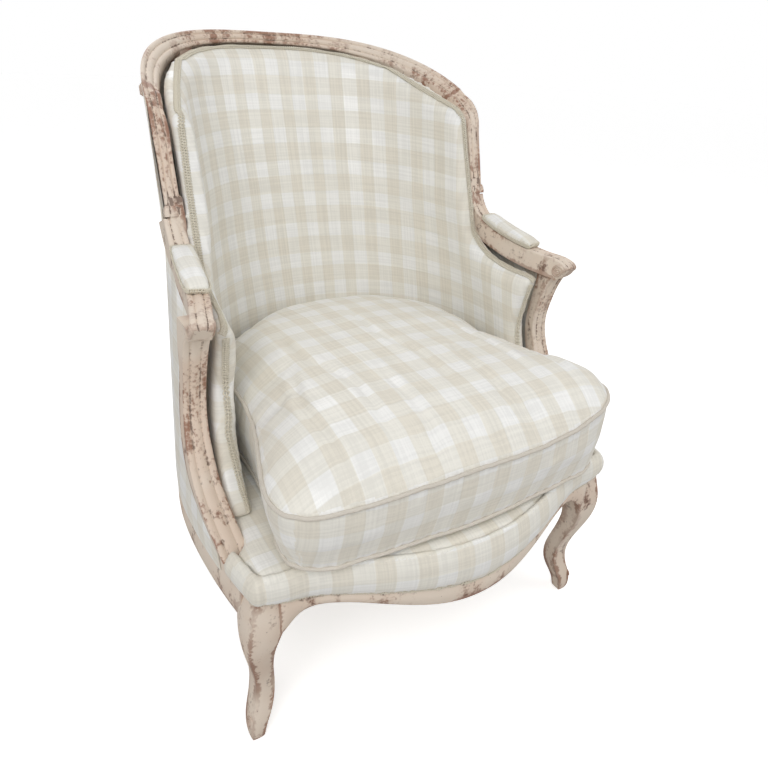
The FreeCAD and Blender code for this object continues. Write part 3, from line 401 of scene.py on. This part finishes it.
def take_mesh(name: str, mesh: bpy.types.Mesh) -> bpy.types.Object:
    """Puts a mesh in the scene as an object at the origin."""
    mesh.name = name
    piece = bpy.data.objects.new(name, mesh)
    bpy.context.scene.collection.objects.link(piece)
    return piece


def baked(piece: bpy.types.Object) -> bpy.types.Mesh:
    """The piece's mesh with its modifiers applied."""
    bpy.context.view_layer.update()
    graph = bpy.context.evaluated_depsgraph_get()
    return bpy.data.meshes.new_from_object(piece.evaluated_get(graph))


def merged_copy(node: bpy.types.Object, name: str) -> bpy.types.Object:
    """A copy of a node with its loose triangles joined."""
    shape = bmesh.new()
    shape.from_mesh(node.data)
    bmesh.ops.remove_doubles(shape, verts=shape.verts, dist=2e-5)
    mesh = bpy.data.meshes.new(name)
    shape.to_mesh(mesh)
    shape.free()
    return take_mesh(name, mesh)


def replace_mesh(piece: bpy.types.Object, mesh: bpy.types.Mesh) -> None:
    """Gives the piece a new mesh and drops its modifiers and the old mesh."""
    old = piece.data
    piece.modifiers.clear()
    piece.data = mesh
    bpy.data.meshes.remove(old)


def formed(node: bpy.types.Object, name: str, voxel: float, rounds: int, grow: float) -> bpy.types.Object:
    """A soft body made from a node's solid.

    Args:
        node: The node whose space the body fills.
        name: The new piece's name.
        voxel: Size of the remesh, in metres.
        rounds: How often the surface is relaxed.
        grow: How far the surface then moves outwards, in metres.

    Returns:
        The new piece.
    """
    piece = merged_copy(node, name)
    modifier = piece.modifiers.new("remesh", "REMESH")
    modifier.mode = "VOXEL"
    modifier.voxel_size = voxel
    replace_mesh(piece, baked(piece))
    shape = bmesh.new()
    shape.from_mesh(piece.data)
    for _ in range(rounds):
        bmesh.ops.smooth_vert(shape, verts=shape.verts, factor=0.5, use_axis_x=True, use_axis_y=True, use_axis_z=True)
    shape.normal_update()
    moves = [vert.normal * grow for vert in shape.verts]
    for vert, move in zip(shape.verts, moves):
        vert.co += move
    shape.to_mesh(piece.data)
    shape.free()
    smooth(piece)
    return piece


def smooth(piece: bpy.types.Object) -> None:
    """Shades the whole piece smooth."""
    piece.data.polygons.foreach_set("use_smooth", [True] * len(piece.data.polygons))


def inflate(piece: bpy.types.Object, pressure: float, frames: int, cap: float) -> None:
    """Swells a closed body as cloth under pressure.

    Args:
        piece: The body.
        pressure: The pressure inside.
        frames: How many frames it swells for.
        cap: The furthest that a point may move, in metres.
    """
    before = [vert.co.copy() for vert in piece.data.vertices]
    modifier = piece.modifiers.new("cloth", "CLOTH")
    cloth = modifier.settings
    cloth.use_pressure = True
    cloth.uniform_pressure_force = pressure
    cloth.effector_weights.gravity = 0.0
    cloth.mass = 0.3
    modifier.collision_settings.use_collision = False
    modifier.point_cache.frame_end = frames
    for frame in range(1, frames + 1):
        bpy.context.scene.frame_set(frame)
    mesh = baked(piece)
    for vert, old in zip(mesh.vertices, before):
        move = vert.co - old
        if move.length > cap:
            vert.co = old + move.normalized() * cap
    replace_mesh(piece, mesh)
    bpy.context.scene.frame_set(1)
    smooth(piece)


def subdivide(piece: bpy.types.Object) -> None:
    """Subdivides the piece once."""
    modifier = piece.modifiers.new("fine", "SUBSURF")
    modifier.levels = modifier.render_levels = 1
    replace_mesh(piece, baked(piece))
    smooth(piece)


def push_out(piece: bpy.types.Object, rule: Callable[[Vector, Vector], float]) -> None:
    """Moves each point along its normal.

    Args:
        piece: The piece to shape.
        rule: Gives the distance for a place and its normal, in metres.
    """
    vertices = piece.data.vertices
    normals = [vert.normal.copy() for vert in vertices]
    moves = [normal * rule(vert.co, normal) for vert, normal in zip(vertices, normals)]
    for vert, move in zip(vertices, moves):
        vert.co += move


def lay_pattern(piece: bpy.types.Object, rule: Callable[[Vector, Vector], tuple[float, float]]) -> None:
    """Lays the woven pattern on the piece as its UV map.

    Args:
        piece: The covered piece.
        rule: Gives the cloth's own two coordinates for a place and the face's normal.
    """
    mesh = piece.data
    layer = mesh.uv_layers.get("UVMap") or mesh.uv_layers.new(name="UVMap")
    flat = []
    for face in mesh.polygons:
        for index in face.vertices:
            flat.extend(rule(mesh.vertices[index].co, face.normal))
    layer.data.foreach_set("uv", flat)


def surface_of(*pieces: bpy.types.Object) -> BVHTree:
    """A search tree over the surface of some pieces."""
    shape = bmesh.new()
    for piece in pieces:
        shape.from_mesh(piece.data)
    tree = BVHTree.FromBMesh(shape)
    shape.free()
    return tree


def flowing(points: list[Vector], step: float, closed: bool = False) -> list[Vector]:
    """Even samples of a smooth curve through the points."""
    count = len(points)
    spans = count if closed else count - 1
    dense = []
    for i in range(spans):
        if closed:
            p, q, r, s = (points[(i + k) % count] for k in (-1, 0, 1, 2))
        else:
            p, q, r, s = points[max(i - 1, 0)], points[i], points[i + 1], points[min(i + 2, count - 1)]
        for k in range(24):
            t = k / 24
            dense.append(0.5 * (2 * q + (r - p) * t + (2 * p - 5 * q + 4 * r - s) * t ** 2
                                + (3 * q - p - 3 * r + s) * t ** 3))
    dense.append(points[0] if closed else points[-1])
    even, left = [dense[0]], step
    for a, b in zip(dense[:-1], dense[1:]):
        length = (b - a).length
        while length > left > 0:
            a = a + (b - a).normalized() * left
            even.append(a)
            length = (b - a).length
            left = step
        left -= length
    return even


def cord_mesh(name: str, strands: list[list[Vector]], radius: float, closed: bool, sides: int = 1) -> bpy.types.Object:
    """Round strands along rows of points, as one mesh piece."""
    curve = bpy.data.curves.new(name, "CURVE")
    curve.dimensions = "3D"
    curve.bevel_depth = radius
    curve.bevel_resolution = sides
    curve.use_fill_caps = True
    for points in strands:
        spline = curve.splines.new("POLY")
        spline.points.add(len(points) - 1)
        for target, place in zip(spline.points, points):
            target.co = (*place, 1.0)
        spline.use_cyclic_u = closed
    holder = bpy.data.objects.new(name + "_line", curve)
    bpy.context.scene.collection.objects.link(holder)
    mesh = baked(holder)
    bpy.data.objects.remove(holder)
    bpy.data.curves.remove(curve)
    piece = take_mesh(name, mesh)
    smooth(piece)
    return piece


def mirrored_points(points: list[Point]) -> list[Vector]:
    """A symmetric row of points from its right half, which begins on the middle line."""
    right = [Vector(p) for p in points]
    left = [Vector((-p.x, p.y, p.z)) for p in reversed(right[1:])]
    return left + right


# The workshop that dresses and places pieces


class Workshop:
    """Holds the frame and the finishes, and places each piece on its body."""

    def __init__(self, frame: dict) -> None:
        """Makes every finish once."""
        self.nodes: dict[str, bpy.types.Object] = frame["nodes"]
        paint, check, weave = worn_paint_group(), check_group(), weave_group()
        self.finishes = {
            "painted_wood": RubbedPaint("painted_wood").make(paint),
            "check_silk": CheckSilk("check_silk").make(check),
            "piping_silk": Yarn("piping_silk", (0.76, 0.72, 0.65), (0.58, 0.52, 0.44), 0.0004).make(weave),
            "gimp_braid": Yarn("gimp_braid", (0.84, 0.80, 0.69), (0.60, 0.54, 0.42), 0.0003).make(weave),
            "jute_webbing": Yarn("jute_webbing", (0.50, 0.38, 0.23), (0.27, 0.19, 0.10), 0.0009).make(weave),
            "burlap": Yarn("burlap", (0.55, 0.45, 0.31), (0.32, 0.25, 0.16), 0.0007).make(weave),
            "stuffing": Yarn("stuffing", (0.35, 0.26, 0.18), (0.12, 0.08, 0.05), 0.0011).make(weave),
            "feather_fill": Yarn("feather_fill", (0.80, 0.78, 0.73), (0.66, 0.63, 0.57), 0.0004).make(weave),
            "bare_beech": PlainWood("bare_beech").make(),
            "spring_steel": SpringSteel("spring_steel").make(),
        }
        for part in frame["record"]["subparts"]:
            self.dress_node(self.nodes[part["node"]], part["material_slot"])

    def dress_node(self, node: bpy.types.Object, slot: str) -> None:
        """Gives a carried-over node its finish."""
        if not node.material_slots:
            node.data.materials.append(None)
        for place in node.material_slots:
            place.material = self.finishes[slot]

    def place(self, piece: bpy.types.Object, body: str, slot: str, replaces: tuple[str, ...] = ()) -> bpy.types.Object:
        """Dresses a new piece and makes it ride on its body."""
        piece.data.materials.clear()
        piece.data.materials.append(self.finishes[slot])
        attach(piece, body)
        if replaces:
            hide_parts(*replaces)
        LOG.info("%s: %d faces on %s", piece.name, len(piece.data.polygons), body)
        return piece


def on_barrel(place: Vector, normal: Vector) -> tuple[float, float]:
    """The cloth's own coordinates on the curved back: round the barrel and up it."""
    centre = (place.z - 0.715) * 0.28
    half, depth, reach = 0.262, 0.31, 0.285
    if place.y > centre:
        round_it = math.atan2(place.x / half, (place.y - centre) / depth) * reach
    else:
        round_it = math.copysign(math.pi / 2 * reach + centre - place.y, place.x)
    return round_it * (1 + 0.2 * (0.9 - place.z)), place.z


def on_block(place: Vector, normal: Vector) -> tuple[float, float]:
    """The cloth's own coordinates on a cushion: flat on the faces and down its sides."""
    if abs(normal.z) > 0.55:
        return place.x, place.y
    if abs(normal.y) > abs(normal.x):
        return place.x, place.z - 0.02
    return place.y, place.z - 0.02


@dataclass
class Braid:
    """Scalloped loop braid: two crossing cords and a middle one, laid on a surface."""

    pitch: float = 0.0078
    reach: float = 0.0048
    thick: float = 0.0011

    def lay(self, name: str, path: list[Vector], surface: BVHTree, closed: bool = False) -> bpy.types.Object:
        """Lays the braid.

        Args:
            name: The new piece's name.
            path: Points that the braid's middle runs near.
            surface: What it is glued to.
            closed: Whether it runs round in a ring.

        Returns:
            The braid as one piece.
        """
        line = flowing(path, self.pitch / 8, closed)
        spots = [surface.find_nearest(p) for p in line]
        count = len(line)
        window = range(-5, 6)
        rows: list[list[Vector]] = [[], [], []]
        for i in range(count):
            near = [(i + k) % count if closed else min(max(i + k, 0), count - 1) for k in window]
            ground = sum((spots[k][0] for k in near), Vector()) / len(near)
            normal = sum((spots[k][1] for k in near), Vector()).normalized()
            along = (line[near[-1]] - line[near[0]]).normalized()
            across = normal.cross(along).normalized()
            angle = 2 * math.pi * i / 8
            for row, turn in ((0, angle), (1, angle + math.pi)):
                lift = self.thick * (1.1 + 0.6 * math.cos(turn))
                rows[row].append(ground + across * self.reach * math.sin(turn) + normal * lift)
            rows[2].append(ground + normal * self.thick * 1.9 + across * 0.0006 * math.sin(angle * 2))
        return cord_mesh(name, rows, self.thick, closed)


# Sub-assemblies


@dataclass
class BarrelBack:
    """The stuffed inside back and the covered outside back."""

    voxel: float = 0.0062
    swell: float = 0.0016
    edge: list[Point] = field(default_factory=lambda: [
        (0.000, 0.3675, 0.9485), (0.0435, 0.365, 0.9485), (0.0865, 0.356, 0.9465), (0.128, 0.3375, 0.9435),
        (0.167, 0.309, 0.9365), (0.1925, 0.281, 0.9285), (0.2075, 0.259, 0.9225), (0.2525, 0.121, 0.8735),
        (0.257, 0.093, 0.855), (0.262, 0.058, 0.76), (0.264, 0.030, 0.680), (0.2655, 0.013, 0.650),
        (0.2685, -0.024, 0.630), (0.2705, -0.051, 0.6225), (0.2725, -0.0775, 0.6195), (0.2765, -0.103, 0.6175),
        (0.2815, -0.1285, 0.6165), (0.2875, -0.154, 0.6165)])
    front: list[Point] = field(default_factory=lambda: [
        (0.283, -0.163, 0.600), (0.282, -0.172, 0.560), (0.283, -0.186, 0.500), (0.284, -0.200, 0.440),
        (0.284, -0.213, 0.385), (0.284, -0.219, 0.356)])

    def build(self, shop: Workshop) -> None:
        """Builds the covers and the braid on their edge."""
        inside = formed(shop.nodes["inside_back_pad"], "inside_back", self.voxel, 4, self.swell)
        push_out(inside, lambda place, normal: noise.noise(place * 9.0) * 0.0016 + noise.noise(place * 27.0) * 0.0006)
        lay_pattern(inside, on_barrel)
        shop.place(inside, CHAIR, "check_silk", ("inside_back_pad", "inside_back_cover", "back_lining"))
        outside = merged_copy(shop.nodes["outside_back_cover"], "outside_back")
        smooth(outside)
        outside.data.set_sharp_from_angle(angle=math.radians(35))
        lay_pattern(outside, on_barrel)
        shop.place(outside, CHAIR, "check_silk", ("outside_back_cover",))
        ground = surface_of(inside)
        braid = Braid().lay("back_braid", mirrored_points(self.edge), ground)
        shop.place(braid, CHAIR, "gimp_braid", ("back_gimp",))
        for side in Side:
            path = [Vector((x * side.value, y, z)) for x, y, z in self.front]
            shop.place(Braid().lay("support_braid_" + side.word, path, ground), CHAIR, "gimp_braid")


@dataclass
class SprungSeat:
    """The deck, the stitched front roll with its braid, and the dust cover beneath."""

    line: list[Point] = field(default_factory=lambda: [
        (0.000, -0.411, 0.275), (0.058, -0.406, 0.279), (0.116, -0.391, 0.284), (0.173, -0.370, 0.289),
        (0.231, -0.347, 0.295), (0.275, -0.340, 0.300), (0.312, -0.335, 0.304), (0.326, -0.331, 0.305),
        (0.331, -0.318, 0.305), (0.334, -0.295, 0.306), (0.338, -0.266, 0.306)])

    def build(self, shop: Workshop) -> None:
        """Builds the pieces of the seat."""
        deck = formed(shop.nodes["seat_stuffing"], "seat_deck", 0.009, 2, 0.0012)
        lay_pattern(deck, on_block)
        shop.place(deck, CHAIR, "check_silk", ("seat_stuffing", "seat_deck_cover", "seat_burlap"))
        roll = formed(shop.nodes["seat_edge_roll"], "front_roll", 0.0035, 3, 0.0006)
        for vert in roll.data.vertices:
            self.pinch(vert)
        lay_pattern(roll, on_block)
        shop.place(roll, CHAIR, "check_silk", ("seat_edge_roll",))
        braid = Braid().lay("seat_braid", mirrored_points(self.line), surface_of(roll))
        shop.place(braid, CHAIR, "gimp_braid", ("seat_gimp",))
        dust = merged_copy(shop.nodes["dust_cover"], "under_cloth")
        shop.place(dust, CHAIR, "burlap", ("dust_cover",))

    def pinch(self, vert: bpy.types.MeshVertex) -> None:
        """Draws the cloth in at the corner seams and lets it ripple between them."""
        x, y, z = vert.co
        seam = abs(abs(x) - 0.318)
        if y < -0.30:
            vert.co.y += 0.0022 * math.exp(-(seam / 0.003) ** 2)
            vert.co.y += 0.0006 * noise.noise(Vector((x * 40, 0, z * 14)))


@dataclass
class ArmPads:
    """The crowned pads on the arms with braid round their foot."""

    half: float = 0.0185
    spine: list[Point] = field(default_factory=lambda: [
        (0.2920, 0.018, 0.687), (0.2950, -0.010, 0.676), (0.2980, -0.040, 0.669), (0.3010, -0.070, 0.664),
        (0.3060, -0.101, 0.660)])

    def build(self, shop: Workshop) -> None:
        """Builds both pads."""
        for side in Side:
            stuffing = shop.nodes["arm_pad_stuffing_" + side.word]
            pad = formed(stuffing, "arm_pad_" + side.word, 0.0024, 4, 0.0026)
            lay_pattern(pad, on_block)
            nodes = ("arm_pad_stuffing_" + side.word, "arm_pad_cover_" + side.word)
            shop.place(pad, CHAIR, "check_silk", nodes)
            points = [Vector((x * side.value, y, z + 0.002)) for x, y, z in self.spine]
            out = Vector((self.half, 0, 0))
            ends = [points[0] + Vector((0, 0.012, 0.006)), points[-1] + Vector((0, -0.012, -0.001))]
            ring = [p + out for p in points] + [ends[1]] + [p - out for p in reversed(points)] + [ends[0]]
            braid = Braid(reach=0.0036).lay("pad_braid_" + side.word, ring, surface_of(pad), True)
            shop.place(braid, CHAIR, "gimp_braid", ("arm_pad_gimp_" + side.word,))


@dataclass
class LooseCushion:
    """The thick feather cushion with its two piped seams."""

    voxel: float = 0.0075
    cap: float = 0.009
    cord: float = 0.0031
    top: list[tuple[float, float]] = field(default_factory=lambda: [
        (0.0, -0.412), (0.105, -0.411), (0.195, -0.404), (0.258, -0.392), (0.291, -0.366), (0.300, -0.328),
        (0.290, -0.264), (0.273, -0.187), (0.259, -0.107), (0.251, -0.012), (0.215, 0.096), (0.125, 0.176), (0.0, 0.198)])
    foot: list[tuple[float, float]] = field(default_factory=lambda: [
        (0.0, -0.392), (0.095, -0.389), (0.185, -0.382), (0.250, -0.372), (0.284, -0.346), (0.289, -0.308),
        (0.276, -0.247), (0.264, -0.182), (0.258, -0.107), (0.254, -0.027), (0.218, 0.068), (0.125, 0.144), (0.0, 0.167)])
    creases: tuple[tuple[float, float, float, float, float], ...] = (
        (-0.20, 0.10, -0.38, -0.10, 0.0030), (-0.135, -0.12, -0.36, 0.02, 0.0026), (-0.06, 0.16, -0.40, -0.18, 0.0024),
        (0.01, -0.08, -0.30, 0.08, 0.0030), (0.085, 0.20, -0.39, -0.12, 0.0026), (0.15, -0.10, -0.33, 0.00, 0.0032),
        (0.215, 0.06, -0.36, -0.16, 0.0028))

    def settle(self, place: Vector) -> Vector:
        """Where a point of the even cushion lies once it has slumped: the left corner droops, the right one is pulled up."""
        high = min(1.0, max(0.0, (place.z - 0.36) / 0.1))
        left = math.exp(-((place.x + 0.30) / 0.12) ** 2 - ((place.y + 0.37) / 0.12) ** 2) * high
        right = math.exp(-((place.x - 0.30) / 0.11) ** 2 - ((place.y + 0.36) / 0.11) ** 2) * high
        return place + Vector((-0.010 * left + 0.002 * right, 0.004 * left + 0.018 * right, -0.014 * left + 0.014 * right))

    def crumple(self, place: Vector, normal: Vector) -> float:
        """Depth of the creases on top and of the puckers beside the piped seams."""
        x, y, z = place
        push = noise.noise(place * 12.0) * 0.0022 + noise.noise(place * 34.0) * 0.0007
        if normal.z > 0.3 and z > 0.46:
            for at, slope, start, end, depth in self.creases:
                across = x - at - slope * (y + 0.2) - 0.008 * math.sin(y * 26 + at * 40)
                along = min(1.0, max(0.0, (y - start) / 0.07)) * min(1.0, max(0.0, (end - y) / 0.07))
                push -= depth * along * math.exp(-(across / 0.0065) ** 2)
                push += 0.45 * depth * along * math.exp(-((abs(across) - 0.014) / 0.008) ** 2)
        elif abs(normal.z) < 0.6 and 0.35 < z < 0.50:
            run = x if abs(normal.y) > abs(normal.x) else y
            wave = math.sin(run * 2 * math.pi / 0.021 + 2.5 * noise.noise(Vector((run * 17, 0.0, 3.0))))
            near = math.exp(-abs(z - 0.472) / 0.020) + 0.8 * math.exp(-abs(z - 0.356) / 0.016)
            push += 0.0013 * wave * near
        return push

    def piping(self, name: str, outline: list[tuple[float, float]], level: float, ground: BVHTree) -> bpy.types.Object:
        """One piped seam laid round the body."""
        half = [Vector((x, y, level)) for x, y in outline]
        points = half + [Vector((-p.x, p.y, p.z)) for p in reversed(half[1:-1])]
        line = flowing([self.settle(p) for p in points], 0.005, True)[:-1]
        spots = [ground.find_nearest(p) for p in line]
        count = len(line)
        row = []
        for i in range(count):
            near = [(i + k) % count for k in range(-2, 3)]
            spot = sum((spots[k][0] for k in near), Vector()) / len(near)
            normal = sum((spots[k][1] for k in near), Vector())
            normal.z *= 0.3
            row.append(spot + normal.normalized() * self.cord * 0.55)
        return cord_mesh(name, [row], self.cord, True, 3)

    def build(self, shop: Workshop) -> None:
        """Builds the cushion and its piping."""
        body = formed(shop.nodes["cushion_core"], "cushion_body", self.voxel, 3, 0.0)
        for vert in body.data.vertices:
            vert.co = self.settle(vert.co)
        inflate(body, 4.0, 18, self.cap)
        subdivide(body)
        push_out(body, self.crumple)
        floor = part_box("cushion_piping_bottom")[0].z
        for vert in body.data.vertices:
            vert.co.z = max(vert.co.z, floor + 0.0004)
        lay_pattern(body, on_block)
        shop.place(body, CUSHION, "check_silk", ("cushion_core", "cushion_cover"))
        ground = surface_of(body)
        top = self.piping("piping_top", self.top, 0.478, ground)
        shop.place(top, CUSHION, "piping_silk", ("cushion_piping_top",))
        foot = self.piping("piping_foot", self.foot, 0.3535, ground)
        for vert in foot.data.vertices:
            vert.co.z = max(vert.co.z, floor)
        shop.place(foot, CUSHION, "piping_silk", ("cushion_piping_bottom",))


@dataclass
class Carving:
    """The small scrolls carved on the arm noses and the feet."""

    turns: float = 2.1
    cord: float = 0.0021

    def scroll(self, name: str, middle: Point, size: float, side: Side, ground: BVHTree, hand: float) -> bpy.types.Object:
        """One spiral bead on an upright face.

        Args:
            name: The new piece's name.
            middle: The eye of the scroll on the right side, in metres.
            size: The scroll's outer radius.
            side: The side of the chair.
            ground: The wood that carries it.
            hand: 1 or -1, the way it turns.

        Returns:
            The scroll as one piece.
        """
        eye = Vector((middle[0] * side.value, middle[1], middle[2]))
        row = []
        steps = 56
        for i in range(steps + 1):
            share = i / steps
            angle = share * self.turns * 2 * math.pi
            radius = size * (1 - 0.9 * share)
            spot = eye + Vector((0, hand * radius * math.cos(angle), radius * math.sin(angle)))
            row.append(ground.find_nearest(spot)[0])
        return cord_mesh(name, [row], self.cord, False, 2)

    def build(self, shop: Workshop) -> None:
        """Builds every scroll."""
        for side in Side:
            arm = surface_of(shop.nodes["arm_" + side.word])
            leg = surface_of(shop.nodes["front_leg_" + side.word])
            for name, x in (("outer", 0.345), ("inner", 0.303)):
                piece = self.scroll(f"arm_scroll_{name}_{side.word}", (x, -0.168, 0.634), 0.013, side, arm, -1.0)
                shop.place(piece, CHAIR, "painted_wood")
            piece = self.scroll("foot_scroll_" + side.word, (0.347, -0.312, 0.036), 0.012, side, leg, -1.0)
            shop.place(piece, CHAIR, "painted_wood")


@dataclass
class Studio:
    """The floor, the soft light and the camera."""

    position: Point = (-0.530, -0.9227, 0.9792)
    yaw: float = 0.57521
    pitch: float = 0.495809
    roll: float = 0.0641074
    lens: float = 30.0

    def lamp(self, name: str, place: Point, size: float, energy: float) -> None:
        """One square lamp that faces the seat."""
        light = bpy.data.lights.new(name, "AREA")
        light.size = size
        light.energy = energy
        holder = bpy.data.objects.new(name, light)
        bpy.context.scene.collection.objects.link(holder)
        holder.location = place
        holder.rotation_euler = (Vector((0, 0, 0.45)) - Vector(place)).to_track_quat("-Z", "Y").to_euler()

    def camera(self) -> None:
        """The camera at the photograph's viewing angle."""
        forward = Vector((math.sin(self.yaw) * math.cos(self.pitch), math.cos(self.yaw) * math.cos(self.pitch),
                          -math.sin(self.pitch)))
        level = Vector((math.cos(self.yaw), -math.sin(self.yaw), 0))
        up = level.cross(forward)
        right = level * math.cos(self.roll) + up * math.sin(self.roll)
        top = up * math.cos(self.roll) - level * math.sin(self.roll)
        data = bpy.data.cameras.new("view")
        data.lens = self.lens
        data.sensor_width = 36.0
        data.clip_start = 0.05
        holder = bpy.data.objects.new("view", data)
        bpy.context.scene.collection.objects.link(holder)
        turn = Matrix((right, top, -forward)).transposed()
        holder.matrix_world = Matrix.Translation(self.position) @ turn.to_4x4()
        bpy.context.scene.camera = holder

    def world(self) -> None:
        """An even pale surround, white where it is seen directly."""
        world = bpy.data.worlds.new("surround")
        bpy.context.scene.world = world
        world.use_nodes = True
        tree = Tree(world.node_tree)
        back = next(n for n in tree.tree.nodes if n.type == "BACKGROUND")
        path = tree.add("ShaderNodeLightPath")
        seen = tree.math("MAXIMUM", path.outputs["Is Camera Ray"], path.outputs["Is Glossy Ray"])
        seen = tree.math("MAXIMUM", seen, path.outputs["Is Transmission Ray"])
        tree.join(tree.math("ADD", 0.5, tree.math("MULTIPLY", seen, 0.5)), back.inputs["Strength"])
        back.inputs["Color"].default_value = (1.0, 1.0, 1.0, 1.0)

    def floor(self) -> None:
        """A wide plain floor, shown white but for the shadow on it."""
        shape = bmesh.new()
        bmesh.ops.create_grid(shape, x_segments=1, y_segments=1, size=14.0)
        mesh = bpy.data.meshes.new("floor")
        shape.to_mesh(mesh)
        shape.free()
        piece = take_mesh("floor", mesh)
        material = bpy.data.materials.new("floor_paper")
        material.use_nodes = True
        tree = Tree(material.node_tree)
        shader = next(n for n in tree.tree.nodes if n.type == "BSDF_PRINCIPLED")
        shader.inputs["Roughness"].default_value = 0.9
        seen = tree.add("ShaderNodeLightPath").outputs["Is Camera Ray"]
        tree.join(tree.mix(seen, (0.62, 0.61, 0.60), (1.0, 1.0, 1.0)), shader.inputs["Base Color"])
        tree.join(tree.math("MULTIPLY", seen, 0.46), shader.inputs["Emission Strength"])
        shader.inputs["Emission Color"].default_value = (1.0, 1.0, 1.0, 1.0)
        piece.data.materials.append(material)

    def build(self) -> None:
        """Sets up the whole studio."""
        scene = bpy.context.scene
        scene.view_settings.view_transform = "Standard"
        self.camera()
        self.world()
        self.floor()
        self.lamp("key", (-1.5, -1.7, 2.3), 1.6, 34.0)
        self.lamp("fill", (1.9, -1.2, 1.7), 1.6, 12.0)
        self.lamp("rim", (0.3, 1.9, 2.3), 1.4, 12.0)


def main() -> None:
    """Builds the chair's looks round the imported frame."""
    logging.basicConfig(level=logging.INFO, format="%(message)s")
    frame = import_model()
    Studio().build()
    shop = Workshop(frame)
    for part in (BarrelBack(), SprungSeat(), ArmPads(), LooseCushion(), Carving()):
        LOG.info("building %s", type(part).__name__)
        part.build(shop)
    bpy.context.view_layer.update()


if __name__ == "__main__":
    main()
